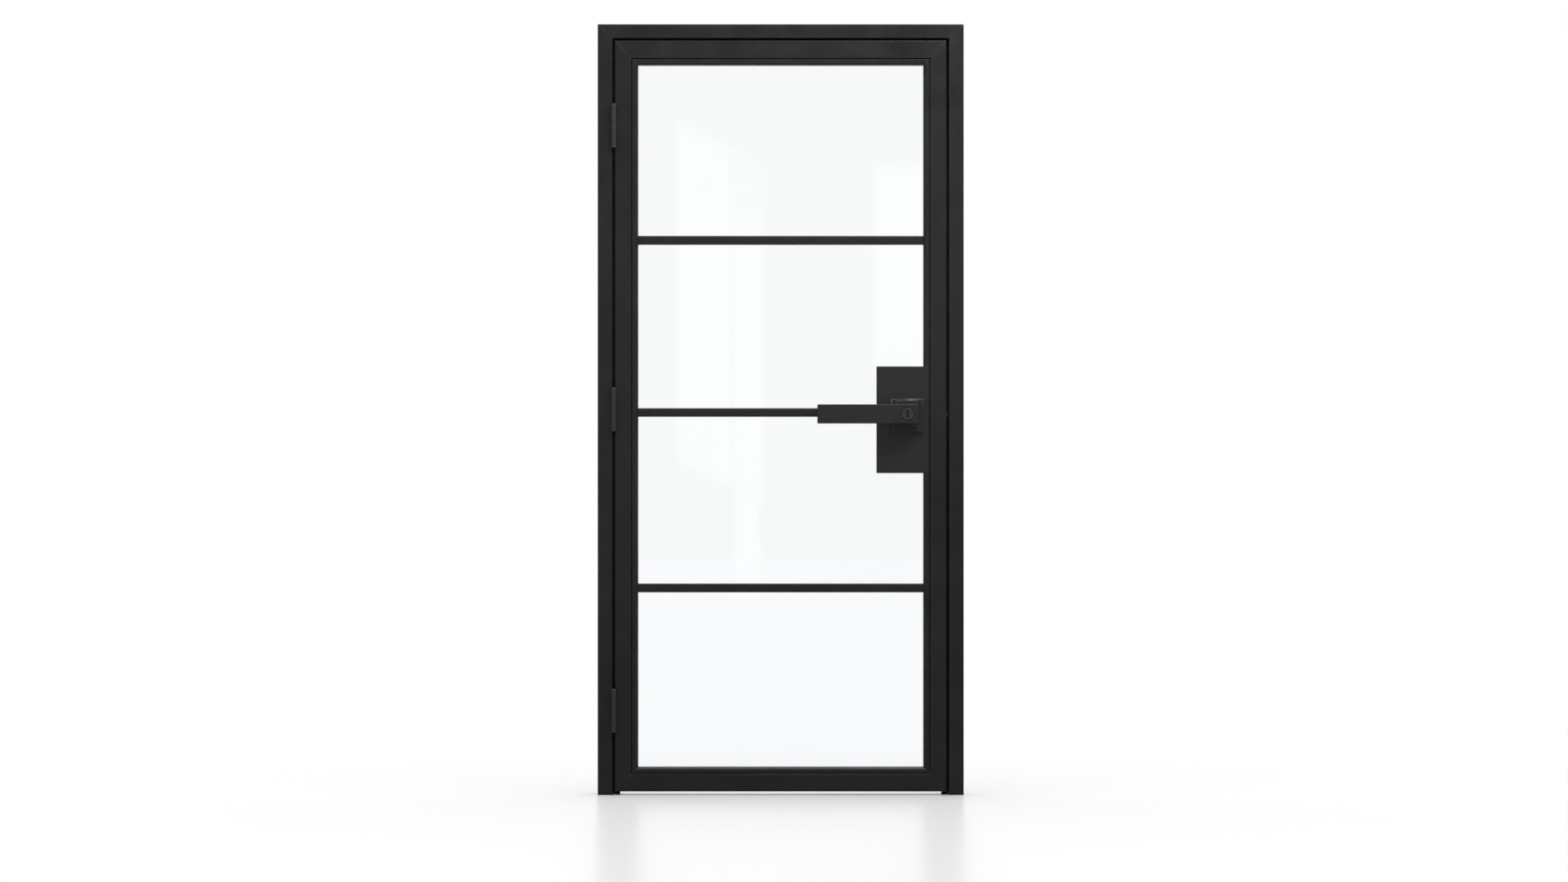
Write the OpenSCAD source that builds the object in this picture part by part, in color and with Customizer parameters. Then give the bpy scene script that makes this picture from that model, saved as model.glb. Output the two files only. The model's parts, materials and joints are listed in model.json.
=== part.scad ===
// A glazed swing door in its own frame: black powder-coated profiles round one sheet of glass,
// with three glazing bars on each side, butt hinges, a lock case let into the glass and two levers.
// X runs across the door, Y from the front to the back and Z up. The leaf is centred on Y = 0.

/* [Frame] */
// Overall width of the frame
frame_w = 1000; // [800:1:1200]
// Overall height of the frame
frame_h = 2106; // [1750:1:2550]
// Visible face width of each jamb
jamb_face = 40; // [33:1:60]
// Visible face height of the head
head_face = 38; // [32:1:60]
// Depth of the frame in front of its stop leg
frame_front_d = 54; // [53:1:65]
// Depth of the stop leg behind the leaf
stop_d = 16; // [13:1:24]
// How far the stop leg reaches past the jamb face
stop_step = 20; // [18:1:26]
// Wall of the frame and leaf profiles
wall = 3; // [2.5:0.5:4]
// Small chamfer on the profiles' long edges
arris = 0.8; // [0.4:0.1:1.5]
// Length of each leg of the corner cleats
cleat_leg = 90; // [60:1:140]
// Depth of the corner cleats
cleat_d = 30; // [15:1:38]

/* [Gaps round the leaf] */
// Gap between a jamb and the leaf
gap_side = 8; // [6.6:0.1:10]
// Gap between the head and the leaf
gap_top = 7; // [4:0.5:10]
// Gap under the leaf
gap_bottom = 9; // [5:0.5:15]

/* [Leaf] */
// Thickness of the leaf
leaf_t = 50; // [48:1:52]
// Face width of the stiles
stile_face = 44; // [36:1:60]
// Face height of the rails
rail_face = 48; // [40:1:80]
// Width of the glazing flange and the beads
rebate_w = 18; // [15:1:24]

/* [Glazing] */
// Thickness of the glass
glass_t = 8; // [6:1:10]
// How far the glass reaches into the rebate
glass_bite = 12; // [10:1:14]
// Thickness of each gasket
gasket_t = 4; // [3:0.5:5]
// How far each gasket stays inside the edge of the glass
gasket_inset = 2; // [1:0.5:4]
// Thickness of the bead's foot
bead_foot_t = 4; // [3:0.5:5]
// Width of the shadow groove between profile and bead
bead_groove = 3; // [2:0.5:5]
// How far the bead's face lies behind the leaf's face
bead_setback = 2; // [1:0.5:4]
// Chamfer along the bead's sight edge
bead_chamfer = 5; // [3:0.5:7]
// Wall of the hollow beads
bead_wall = 2; // [1.5:0.5:2.5]
// Length of each setting block under the glass
block_l = 100; // [60:1:150]

/* [Glazing bars] */
// Height of each bar
bar_h = 24; // [16:1:40]
// Depth of each bar
bar_d = 14; // [10:1:15]
// Chamfer on the bar's outer edges
bar_chamfer = 3; // [1:0.5:5]
// Height of the low bars' centre above the floor
low_bar_z = 565; // [400:1:700]
// Height of the middle bars' centre above the floor
mid_bar_z = 1045; // [930:1:1100]
// Height of the high bars' centre above the floor
high_bar_z = 1516; // [1300:1:1600]
// Gap at each end of a bar
bar_end_gap = 0.3; // [0:0.1:1]

/* [Hinges] */
// Height of each hinge over its caps
hinge_h = 120; // [100:1:150]
// Outer diameter of the knuckles
knuckle_d = 13; // [12:0.5:16]
// Diameter of the hinge pins
pin_d = 7; // [6:0.5:8]
// Gap between the leaf's face and the knuckles
hinge_standoff = 1; // [1:0.5:4]
// Height of each end cap
hinge_cap_h = 5; // [3:0.5:8]
// Height of the door's knuckle
door_knuckle_h = 22; // [16:1:40]
// Thickness of each bearing washer
washer_t = 1; // [0.8:0.1:2]
// Thickness of the hinge plates
hinge_plate_t = 3; // [2:0.1:3.2]
// Depth of the hinge plates behind the face
hinge_plate_d = 38; // [30:1:46]
// Height of the low hinge's centre above the floor
low_hinge_z = 230; // [120:1:350]
// Height of the middle hinge's centre above the floor
mid_hinge_z = 1053; // [900:1:1150]
// Distance from the frame's top to the top hinge's centre
top_hinge_drop = 278; // [180:1:350]

/* [Lock case] */
// Width of the lock plates
lock_w = 143; // [130:1:180]
// Height of the lock plates
lock_h = 292; // [240:1:350]
// Height of the lock case's centre above the floor
lock_z = 1025; // [950:1:1100]
// Thickness of the lock plates
lock_plate_t = 3; // [2:0.5:4]
// Depth of the lock case between its plates
case_d = 42; // [38:1:42]
// Depth of the slot in the case that holds the glass
case_slot = 12; // [10:1:14]
// Wall of the case between the slot and the hollow
case_wall = 4; // [3:0.5:8]
// Gap between the glass and the bottom of the case's slot
notch_gap = 3; // [2:0.5:5]
// Corner radius of the notch in the glass
notch_r = 6; // [4:1:8]

/* [Levers] */
// Height of the levers' axis above the floor
lever_z = 1041; // [1000:1:1060]
// Distance from the leaf's edge to the levers' axis
backset = 106.5; // [100:0.5:125]
// Length of a lever from its axis to its tip
lever_l = 245; // [150:1:260]
// Length of a lever past its axis
lever_tail = 28; // [24:1:32]
// Height of a lever
lever_h = 52; // [42:1:56]
// Thickness of a lever
lever_t = 14; // [10:1:18]
// Chamfer on a lever's long edges
lever_chamfer = 1.5; // [0.5:0.5:3]
// Reach of each lever from its lock plate
lever_reach = 54; // [46:1:70]
// Width and height of a rosette
rosette_w = 89; // [86:1:100]
// Thickness of a rosette
rosette_t = 9; // [8:0.5:12]
// How far a rosette's centre lies below the axis
rosette_drop = 4; // [0:1:6]
// Width of a rosette's raised block
block_w = 56; // [52:1:64]
// Height of a rosette's raised block
block_h = 73; // [70:1:78]
// Thickness of a rosette's raised block
block_t = 8; // [6:0.5:9]
// Diameter of a lever's neck
neck_d = 30; // [28:1:34]
// Side of the square spindle
spindle_s = 8; // [7:0.5:9]
// Spacing of the bolts that clamp the rosettes
rosette_bolt_pitch = 56; // [54:1:60]

/* [Key cylinder] */
// Diameter of the cylinder's face
cylinder_d = 38; // [36:1:40]
// Diameter of the disc inside the cylinder's shadow groove
disc_d = 32; // [31:0.5:33]
// Diameter of the turning face with the keyhole
plug_face_d = 28; // [27:0.5:29]
// Diameter of the cylinder's barrel
barrel_d = 24; // [20:1:26]
// Diameter of the plug behind its face
plug_d = 14; // [12:1:16]
// How far the cylinder stands proud of the front lever
cylinder_proud = 1; // [0.5:0.5:2]

/* [Latch and strike] */
// Diameter of the latch housing
latch_housing_d = 24; // [22:1:26]
// Width of the latch bolt's nose across the leaf
latch_nose_w = 12; // [10:0.5:12]
// Height of the latch bolt's nose
latch_nose_h = 15; // [12:0.5:15]
// How far the latch bolt stands out at rest
latch_out = 6; // [3:0.5:6]
// Travel of the latch bolt
latch_travel = 8; // [6:0.5:9]
// Width of the latch's face plate
face_plate_w = 25; // [22:1:28]
// Height of the latch's face plate
face_plate_h = 57; // [55:1:65]
// Width of the strike plate
strike_w = 24; // [22:1:30]
// Height of the strike plate
strike_h = 110; // [90:1:130]
// Thickness of the latch's face plate and the strike plate
insert_t = 2; // [1:0.5:2]
// Depth of the dust box behind the strike plate
strike_box_d = 18; // [14:1:22]

/* [Fixings] */
// Diameter of the holes for the wall anchors
anchor_hole_d = 8.5; // [6.5:0.5:10]
// Height of the lowest wall anchor above the floor
anchor_low_z = 350; // [320:1:400]
// Spacing of the wall anchors
anchor_pitch = 450; // [420:1:460]
// Number of wall anchors in each jamb
anchor_count = 4; // [2:1:4]
// Shank diameter of the small screws
screw_d = 5; // [4:0.5:5]
// Head diameter of the small screws
screw_head_d = 9; // [8:0.5:9.5]
// Radial clearance of running fits
run_fit = 0.05; // [0.02:0.01:0.1]
// Clearance between pieces that slide into each other
slide_fit = 0.3; // [0.2:0.05:0.5]
// Clearance between fixed pieces
seat_fit = 0.1; // [0:0.05:0.2]
// Clearance between the seals and the leaf
seal_gap = 0.3; // [0.2:0.1:1]

/* [Hidden] */
$fn = 48;
eps = 1;
front_y = -leaf_t / 2;
back_y = leaf_t / 2;
stop_y = front_y + frame_front_d;
half_w = frame_w / 2;
opening_x = half_w - jamb_face;
leaf_x = opening_x - gap_side;
leaf_top = frame_h - head_face - gap_top;
leaf_size = [2 * leaf_x, leaf_top - gap_bottom];
stile_x = leaf_x - stile_face;
sight_x = stile_x - rebate_w;
sight_low = gap_bottom + rail_face + rebate_w;
sight_high = leaf_top - rail_face - rebate_w;
// The mitre lines, as [across the upright, along the upright] from an outer corner
frame_mitre = [[0, 0], [jamb_face, head_face], [jamb_face + stop_step, head_face + stop_step]];
leaf_mitre = [[0, 0], [stile_face, rail_face], [stile_face + rebate_w, rail_face + rebate_w]];
bead_mitre = [leaf_mitre[1], leaf_mitre[2]];
seal_w = 10;
seal_start = 1;
seal_mitre = [[gap_side + seal_start, gap_top + seal_start],
              [gap_side + seal_start + seal_w, gap_top + seal_start + seal_w]];
// The layers of the glazing, measured forwards and backwards from the middle of the leaf
glass_y = glass_t / 2;
gasket_y = glass_y + gasket_t;
bead_foot_y = gasket_y + bead_foot_t;
bead_face_y = leaf_t / 2 - bead_setback;
glass_x = sight_x + glass_bite;
glass_low = sight_low - glass_bite;
glass_high = sight_high + glass_bite;
// The lock case and what it carries
case_x0 = stile_x - bead_groove - lock_w;
plate_x1 = stile_x - bead_groove;
lock_low = lock_z - lock_h / 2;
case_rim = case_slot + case_wall;
plate_y = case_d / 2 + lock_plate_t;
axis_x = leaf_x - backset;
lever_y = plate_y + lever_reach;
neck_end_y = plate_y + slide_fit;
plate_screw_inset = 6;
bolt_tip_y = plate_y + rosette_t + block_t - 4;
bolt_head_h = 4;
// The key cylinder, measured forwards from the middle of the leaf
cylinder_flange_t = 4;
barrel_back_y = 56;
plug_face_t = 3;
tailpiece_l = 4;
tailpiece = [2, 8];
spindle_front_y = barrel_back_y - tailpiece_l - 2;
spindle_back_y = lever_y - lever_t - 4;
grub_y = 47;
// The latch, along X and about its own axis
latch_bore_r = latch_housing_d / 2 - 2;
housing_x1 = leaf_x - insert_t;
housing_x0 = stile_x - case_rim - 6;
housing_end_t = 3;
body_x1 = housing_x1 - 10;
body_l = 12;
rod_r = 3;
hub_r = 8;
arm_r = 13;
arm_w = 5;
hook_low = arm_r - 4;
hook_high = arm_r + 1;
hook_gap = 1.2;
hook_t = 4;
tail_t = 4;
tail_x = 26;
// The hinges
hinge_x = -(leaf_x + gap_side / 2);
hinge_y = front_y - hinge_standoff - knuckle_d / 2;
top_hinge_z = frame_h - top_hinge_drop;
hinge_stack = hinge_h - 2 * hinge_cap_h;
frame_knuckle_h = (hinge_stack - door_knuckle_h) / 2 - washer_t;
hinge_screw_z = [-42, -18, 18, 42];
hinge_screw_y = [11, 28];
hinge_screw_l = 12;
press_fit = 0.02;
// The strike, the latch and the rosettes' springs: radius, wire, length, turns
strike_screw_l = 12;
strike_hole = [latch_nose_w + 4, latch_nose_h + 4];
strike_box_wall = 1.5;
latch_screw_l = 10;
spring_room_r = neck_d / 2 + 6;
spring_room_t = 6;
return_spring = [neck_d / 2 + 3.5, 1.6, 5, 2.5];
// The colours
black = [0.16, 0.17, 0.17];
black_trim = [0.21, 0.22, 0.22];
black_rubber = [0.06, 0.06, 0.06];
steel = [0.62, 0.63, 0.65];
clear_glass = [0.80, 0.87, 0.90, 0.35];

// ---------- shared shapes ----------

// Mitre points carried on in a straight line past both ends
function carried(m) = concat(
    [m[0] - (m[1] - m[0]) * 0.2],
    m,
    [m[len(m) - 1] + (m[len(m) - 1] - m[len(m) - 2]) * 0.2]
);

// The same mitre seen from the other member
function swapped(m) = [for (p = m) [p.y, p.x]];

// A rectangle with chamfered corners, as points
function chamfered(x0, y0, x1, y1, c) = [
    [x0 + c, y0], [x1 - c, y0], [x1, y0 + c], [x1, y1 - c],
    [x1 - c, y1], [x0 + c, y1], [x0, y1 - c], [x0, y0 + c]
];

// A profile run up Z from a to b, cut at its ends along the mitre, or square where asked
module member(a, b, mitre, square_low = false, square_high = false) {
    line = carried(mitre);
    last = len(line) - 1;
    low = square_low ? [[line[0].x, 0], [line[last].x, 0]] : line;
    high = square_high ? [[line[last].x, 0], [line[0].x, 0]] : [for (i = [last:-1:0]) line[i]];
    outline = concat([for (p = low) [p.x, a + p.y]], [for (p = high) [p.x, b - p.y]]);
    intersection() {
        translate([0, 0, a - 20]) linear_extrude(b - a + 40) children();
        rotate([90, 0, 0]) linear_extrude(4 * leaf_t, center = true) polygon(outline);
    }
}

// Turns a member that runs up Z into one that runs along X
module along_x() {
    mirror([1, 0, -1]) children();
}

// Moves a member drawn from X = 0 to the hinge side, reaching inwards from x
module on_hinge_side(x) {
    translate([-x, 0, 0]) children();
}

// Moves a member drawn from X = 0 to the latch side, reaching inwards from x
module on_latch_side(x) {
    translate([x, 0, 0]) mirror([1, 0, 0]) children();
}

// Turns a rail drawn upwards from Z = 0 into one that hangs down from z
module hung_from(z) {
    translate([0, 0, z]) mirror([0, 0, 1]) children();
}

// A cylinder along X from x0 to x1
module rod_x(x0, x1, r) {
    translate([x0, 0, 0]) rotate([0, 90, 0]) cylinder(r = r, h = x1 - x0);
}

// A cylinder along Y from y0 to y1
module rod_y(y0, y1, r) {
    translate([0, y1, 0]) rotate([90, 0, 0]) cylinder(r = r, h = y1 - y0);
}

// A cone along X with radius r0 at x0 and r1 at x1
module cone_x(x0, x1, r0, r1) {
    translate([x0, 0, 0]) rotate([0, 90, 0]) cylinder(r1 = r0, r2 = r1, h = x1 - x0);
}

// A countersunk screw along X: its head's face lies at X = 0 and its shank runs to +X
module screw_x(length, clear = 0) {
    head_t = (screw_head_d - screw_d) / 2;
    cone_x(0, head_t, screw_head_d / 2 + clear, screw_d / 2 + clear);
    rod_x(0, length, screw_d / 2 + clear);
}

// The hole for such a screw, open past its face
module screw_hole_x(length) {
    screw_x(length + eps, seat_fit);
    rod_x(-eps, 0, screw_head_d / 2 + seat_fit);
}

// A helical coil of round wire about Z, from Z = 0 up
module coil(r, wire, length, turns) {
    sides = 6;
    steps = round(12 * turns);
    rise = (length - wire) / steps;
    points = [
        for (i = [0:steps]) for (j = [0:sides - 1])
            let (a = 360 * turns * i / steps, b = 360 * j / sides, reach = r + wire / 2 * cos(b))
                [reach * cos(a), reach * sin(a), wire / 2 + i * rise + wire / 2 * sin(b)]
    ];
    skin = [
        for (i = [0:steps - 1]) for (j = [0:sides - 1])
            let (k = i * sides, n = (j + 1) % sides)
                for (face = [[k + j, k + n, k + sides + n], [k + j, k + sides + n, k + sides + j]]) face
    ];
    ends = [[for (j = [sides - 1:-1:0]) j], [for (j = [0:sides - 1]) steps * sides + j]];
    polyhedron(points, concat(skin, ends));
}

// A plate in the XZ plane with a chamfer round its front edge: its back lies at Y = 0, its face at -t
module bevelled_plate(w, h, t, c) {
    intersection() {
        translate([0, 0, -h]) linear_extrude(2 * h)
            polygon([[-w / 2, 0], [-w / 2, c - t], [c - w / 2, -t], [w / 2 - c, -t], [w / 2, c - t], [w / 2, 0]]);
        along_x() translate([0, 0, -w]) linear_extrude(2 * w)
            polygon([[-h / 2, 0], [-h / 2, c - t], [c - h / 2, -t], [h / 2 - c, -t], [h / 2, c - t], [h / 2, 0]]);
    }
}

// ---------- frame ----------

// The frame's profile: a front chamber, and a second one behind it that makes the stop
module frame_profile(face) {
    difference() {
        union() {
            polygon(chamfered(0, front_y, face, stop_y + arris, arris));
            translate([0, stop_y]) square([face + stop_step, stop_d]);
        }
        translate([wall, front_y + wall]) square([face - 2 * wall, frame_front_d - wall]);
        translate([wall, stop_y + wall]) square([face + stop_step - 2 * wall, stop_d - 2 * wall]);
    }
}

// The holes that the wall anchors pass through, from the jamb's outer edge inwards
module anchor_holes() {
    for (i = [0:anchor_count - 1])
        translate([0, (front_y + stop_y) / 2, anchor_low_z + i * anchor_pitch])
            rod_x(-eps, jamb_face + eps, anchor_hole_d / 2);
}

module jamb() {
    difference() {
        member(0, frame_h, frame_mitre, square_low = true) frame_profile(jamb_face);
        anchor_holes();
    }
}

module jamb_hinge_side() {
    color(black) difference() {
        on_hinge_side(half_w) jamb();
        hinge_screws(side = -1, hole = true);
    }
}

module jamb_latch_side() {
    color(black) difference() {
        on_latch_side(half_w) jamb();
        translate([opening_x - eps, -strike_w / 2, lever_z - strike_h / 2])
            cube([insert_t + eps, strike_w, strike_h]);
        translate([opening_x, 0, lever_z]) strike_box_block(seat_fit);
        strike_screw_places() screw_hole_x(strike_screw_l);
    }
}

module head() {
    color(black) hung_from(frame_h) along_x() translate([0, 0, -half_w])
        member(0, frame_w, swapped(frame_mitre)) frame_profile(head_face);
}

// An L-shaped block that joins two hollow members, drawn from their outer corner
module cleat(upright_face, rail_height) {
    near = wall + slide_fit;
    far_x = upright_face - near;
    far_z = rail_height - near;
    rotate([90, 0, 0]) linear_extrude(cleat_d, center = true) polygon([
        [near, near], [cleat_leg, near], [cleat_leg, far_z],
        [far_x, far_z], [far_x, cleat_leg], [near, cleat_leg]
    ]);
}

module frame_corner_cleats() {
    color(steel) for (side = [0, 1]) mirror([side, 0, 0])
        translate([-half_w, (front_y + stop_y) / 2, frame_h]) mirror([0, 0, 1]) cleat(jamb_face, head_face);
}

// The seal's section: a flat foot on the stop leg and a soft bulb towards the leaf
module seal_profile(start) {
    reach = stop_y - back_y - seal_gap;
    translate([start, stop_y - reach / 2]) square([seal_w, reach / 2]);
    intersection() {
        translate([start + seal_w / 2, stop_y]) circle(r = reach);
        translate([start, stop_y - reach]) square([seal_w, reach]);
    }
}

module upright_seal() {
    member(0, frame_h - head_face, seal_mitre, square_low = true) seal_profile(gap_side + seal_start);
}

module seal_hinge_side() {
    color(black_rubber) on_hinge_side(opening_x) upright_seal();
}

module seal_latch_side() {
    color(black_rubber) on_latch_side(opening_x) upright_seal();
}

module seal_head() {
    color(black_rubber) hung_from(frame_h - head_face) along_x() translate([0, 0, -opening_x])
        member(0, 2 * opening_x, swapped(seal_mitre)) seal_profile(gap_top + seal_start);
}

// ---------- strike ----------

module strike_screw_places() {
    for (side = [-1, 1])
        translate([opening_x, 0, lever_z + side * (strike_h / 2 - 10)]) children();
}

module strike_plate() {
    color(black_trim) difference() {
        translate([opening_x, seat_fit - strike_w / 2, lever_z - strike_h / 2 + seat_fit])
            cube([insert_t, strike_w - 2 * seat_fit, strike_h - 2 * seat_fit]);
        translate([opening_x - eps, -strike_hole.x / 2, lever_z - strike_hole.y / 2])
            cube([insert_t + 2 * eps, strike_hole.x, strike_hole.y]);
        strike_screw_places() screw_hole_x(strike_screw_l);
    }
}

// The outside of the dust box, grown by clear on its four long sides
module strike_box_block(clear) {
    w = strike_hole.x + 2 * strike_box_wall + 2 * clear;
    h = strike_hole.y + 2 * strike_box_wall + 2 * clear;
    translate([insert_t, -w / 2, -h / 2]) cube([strike_box_d, w, h]);
}

module strike_box() {
    color(steel) translate([opening_x, 0, lever_z]) difference() {
        strike_box_block(0);
        translate([insert_t - eps, -strike_hole.x / 2, -strike_hole.y / 2])
            cube([strike_box_d - strike_box_wall + eps, strike_hole.x, strike_hole.y]);
    }
}

module strike_screws() {
    color(steel) strike_screw_places() screw_x(strike_screw_l);
}

// ---------- hinges ----------

// Places a child at each hinge's centre on the pin's axis
module at_hinges() {
    for (z = [low_hinge_z, mid_hinge_z, top_hinge_z]) translate([hinge_x, hinge_y, z]) children();
}

// Stacks a child at the foot of each of the frame's two knuckles
module at_frame_knuckles() {
    for (z = [-hinge_stack / 2, hinge_stack / 2 - frame_knuckle_h]) translate([0, 0, z]) children();
}

// The screws of one hinge plate, or their holes: side -1 is the frame's plate and 1 the door's
module hinge_screws(side, hole = false) {
    at_hinges() for (i = [0:3])
        translate([side * (gap_side / 2 - hinge_plate_t), front_y - hinge_y + hinge_screw_y[i % 2], hinge_screw_z[i]])
            mirror([side < 0 ? 1 : 0, 0, 0]) {
                if (hole) screw_hole_x(hinge_screw_l);
                else screw_x(hinge_screw_l);
            }
}

// The flat of a hinge, from the leaf's face backwards: side -1 lies on the frame and 1 on the door
module hinge_plate(side) {
    x = side < 0 ? -gap_side / 2 : gap_side / 2 - hinge_plate_t;
    translate([x, front_y - hinge_y, -hinge_stack / 2]) cube([hinge_plate_t, hinge_plate_d, hinge_stack]);
}

// A knuckle of height h that is bored for the pin, with the web that joins it to its plate
module knuckle(side, h, fit) {
    x = side < 0 ? -gap_side / 2 : gap_side / 2 - hinge_plate_t;
    difference() {
        union() {
            cylinder(d = knuckle_d, h = h);
            translate([x, 0, 0]) cube([hinge_plate_t, front_y - hinge_y + eps, h]);
        }
        translate([0, 0, -eps]) cylinder(r = pin_d / 2 + fit, h = h + 2 * eps);
    }
}

module hinge_frame_leaf(z) {
    color(black_trim) difference() {
        translate([hinge_x, hinge_y, z]) {
            hinge_plate(-1);
            at_frame_knuckles() knuckle(-1, frame_knuckle_h, press_fit);
        }
        hinge_screws(side = -1, hole = true);
    }
}

module hinge_door_leaf(z) {
    color(black_trim) difference() {
        translate([hinge_x, hinge_y, z]) {
            hinge_plate(1);
            translate([0, 0, -door_knuckle_h / 2]) knuckle(1, door_knuckle_h, run_fit);
        }
        hinge_screws(side = 1, hole = true);
    }
}

module hinge_top_frame_leaf() { hinge_frame_leaf(top_hinge_z); }
module hinge_mid_frame_leaf() { hinge_frame_leaf(mid_hinge_z); }
module hinge_low_frame_leaf() { hinge_frame_leaf(low_hinge_z); }
module hinge_top_door_leaf() { hinge_door_leaf(top_hinge_z); }
module hinge_mid_door_leaf() { hinge_door_leaf(mid_hinge_z); }
module hinge_low_door_leaf() { hinge_door_leaf(low_hinge_z); }

module hinge_pins() {
    color(black_trim) at_hinges() {
        translate([0, 0, -hinge_stack / 2 - eps]) cylinder(d = pin_d, h = hinge_stack + 2 * eps);
        for (side = [0, 1]) mirror([0, 0, side]) translate([0, 0, hinge_stack / 2]) {
            cylinder(d = knuckle_d, h = hinge_cap_h - 1);
            translate([0, 0, hinge_cap_h - 1]) cylinder(d1 = knuckle_d, d2 = knuckle_d - 2, h = 1);
        }
    }
}

module hinge_washers() {
    color(black_trim) at_hinges() for (side = [0, 1]) mirror([0, 0, side])
        translate([0, 0, door_knuckle_h / 2]) difference() {
            cylinder(d = knuckle_d - 1, h = washer_t);
            translate([0, 0, -eps]) cylinder(r = pin_d / 2 + run_fit, h = washer_t + 2 * eps);
        }
}

module hinge_frame_screws() {
    color(steel) hinge_screws(side = -1);
}

module hinge_door_screws() {
    color(steel) hinge_screws(side = 1);
}

// ---------- leaf frame ----------

// The leaf's profile: a tube, and a hollow flange that holds the glass from behind
module leaf_profile(face) {
    difference() {
        union() {
            polygon(chamfered(0, front_y, face, back_y, arris));
            translate([face - eps, gasket_y]) square([rebate_w + eps, back_y - gasket_y]);
        }
        translate([wall, front_y + wall]) square([face - 2 * wall, leaf_t - 2 * wall]);
        translate([face, gasket_y + wall]) square([rebate_w - wall, back_y - gasket_y - 2 * wall]);
    }
}

module stile() {
    translate([0, 0, gap_bottom]) member(0, leaf_size.y, leaf_mitre) leaf_profile(stile_face);
}

module rail() {
    along_x() translate([0, 0, -leaf_x]) member(0, leaf_size.x, swapped(leaf_mitre)) leaf_profile(rail_face);
}

module stile_hinge_side() {
    color(black) difference() {
        on_hinge_side(leaf_x) stile();
        hinge_screws(side = 1, hole = true);
    }
}

module stile_latch_side() {
    color(black) difference() {
        on_latch_side(leaf_x) stile();
        translate([sight_x - eps, -leaf_t, lock_low]) cube([rebate_w + eps, 2 * leaf_t, lock_h]);
        translate([leaf_x - insert_t, -face_plate_w / 2, lever_z - face_plate_h / 2])
            cube([insert_t + eps, face_plate_w, face_plate_h]);
        translate([0, 0, lever_z]) rod_x(stile_x - eps, leaf_x + eps, latch_housing_d / 2 + seat_fit);
        latch_screw_places() screw_hole_x(latch_screw_l);
    }
}

module rail_top() {
    color(black) hung_from(leaf_top) rail();
}

module rail_bottom() {
    color(black) translate([0, 0, gap_bottom]) rail();
}

module leaf_corner_cleats() {
    color(steel) for (side = [0, 1]) mirror([side, 0, 0]) {
        translate([-leaf_x, 0, gap_bottom]) cleat(stile_face, rail_face);
        translate([-leaf_x, 0, leaf_top]) mirror([0, 0, 1]) cleat(stile_face, rail_face);
    }
}

// ---------- glazing ----------

// The outline of the sight opening: what is seen of the glass between the profiles and the lock case
module sight_outline() {
    difference() {
        translate([-sight_x, sight_low]) square([2 * sight_x, sight_high - sight_low]);
        translate([case_x0, lock_low]) square([stile_x - case_x0, lock_h]);
    }
}

// The outline of the glass, inset by a margin all round, with its notch for the lock case
module glass_outline(inset = 0) {
    cut = case_slot - notch_gap - inset;
    low = lock_low + cut;
    high = lock_low + lock_h - cut;
    r = notch_r + inset;
    difference() {
        translate([inset - glass_x, glass_low + inset])
            square([2 * (glass_x - inset), glass_high - glass_low - 2 * inset]);
        translate([case_x0 + cut + r, low]) square([lock_w, high - low]);
        translate([case_x0 + cut, low + r]) square([lock_w, high - low - 2 * r]);
        for (z = [low + r, high - r]) translate([case_x0 + cut + r, z]) circle(r = r);
    }
}

// Raises an outline drawn as [X, Z] into a sheet from y0 back to y1
module sheet(y0, y1) {
    translate([0, y1, 0]) rotate([90, 0, 0]) linear_extrude(y1 - y0) children();
}

module glass_pane() {
    color(clear_glass) sheet(-glass_y, glass_y) glass_outline();
}

module gasket_outline() {
    difference() {
        glass_outline(gasket_inset);
        sight_outline();
    }
}

module gasket_front() {
    color(black_rubber) sheet(-gasket_y, -glass_y) gasket_outline();
}

module gasket_back() {
    color(black_rubber) sheet(glass_y, gasket_y) gasket_outline();
}

// Blocks that carry the glass in the bottom rail and keep it off the stiles
module setting_blocks() {
    gap = rebate_w - glass_bite;
    color(black_rubber) for (side = [0, 1]) mirror([side, 0, 0]) {
        for (z = [gap_bottom + rail_face, glass_high])
            translate([-glass_x + block_l / 2, -glass_y, z]) cube([block_l, glass_t, gap]);
        for (z = [glass_low + block_l / 2, glass_high - 3 * block_l / 2])
            translate([-stile_x, -glass_y, z]) cube([gap, glass_t, block_l]);
    }
}

// The bead's section, from the profile's inner face to the sight edge
module bead_profile() {
    inner = bead_wall * (sqrt(2) - 1);
    box_x0 = bead_groove;
    chamfer_y = bead_face_y - bead_chamfer;
    difference() {
        polygon([
            [0, -gasket_y], [rebate_w, -gasket_y], [rebate_w, -chamfer_y],
            [rebate_w - bead_chamfer, -bead_face_y], [box_x0, -bead_face_y],
            [box_x0, -bead_foot_y], [0, -bead_foot_y]
        ]);
        polygon([
            [box_x0 + bead_wall, -gasket_y - bead_wall], [rebate_w - bead_wall, -gasket_y - bead_wall],
            [rebate_w - bead_wall, inner - chamfer_y],
            [rebate_w - bead_chamfer - inner, bead_wall - bead_face_y],
            [box_x0 + bead_wall, bead_wall - bead_face_y]
        ]);
    }
}

module bead_hinge_side() {
    color(black) on_hinge_side(leaf_x) translate([0, 0, gap_bottom])
        member(0, leaf_size.y, bead_mitre) translate([stile_face, 0]) bead_profile();
}

module bead_latch_lower() {
    color(black) on_latch_side(leaf_x) translate([0, 0, gap_bottom])
        member(0, lock_low - gap_bottom, bead_mitre, square_high = true)
            translate([stile_face, 0]) bead_profile();
}

module bead_latch_upper() {
    length = leaf_top - lock_low - lock_h;
    color(black) hung_from(leaf_top) on_latch_side(leaf_x)
        member(0, length, bead_mitre, square_high = true) translate([stile_face, 0]) bead_profile();
}

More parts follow.
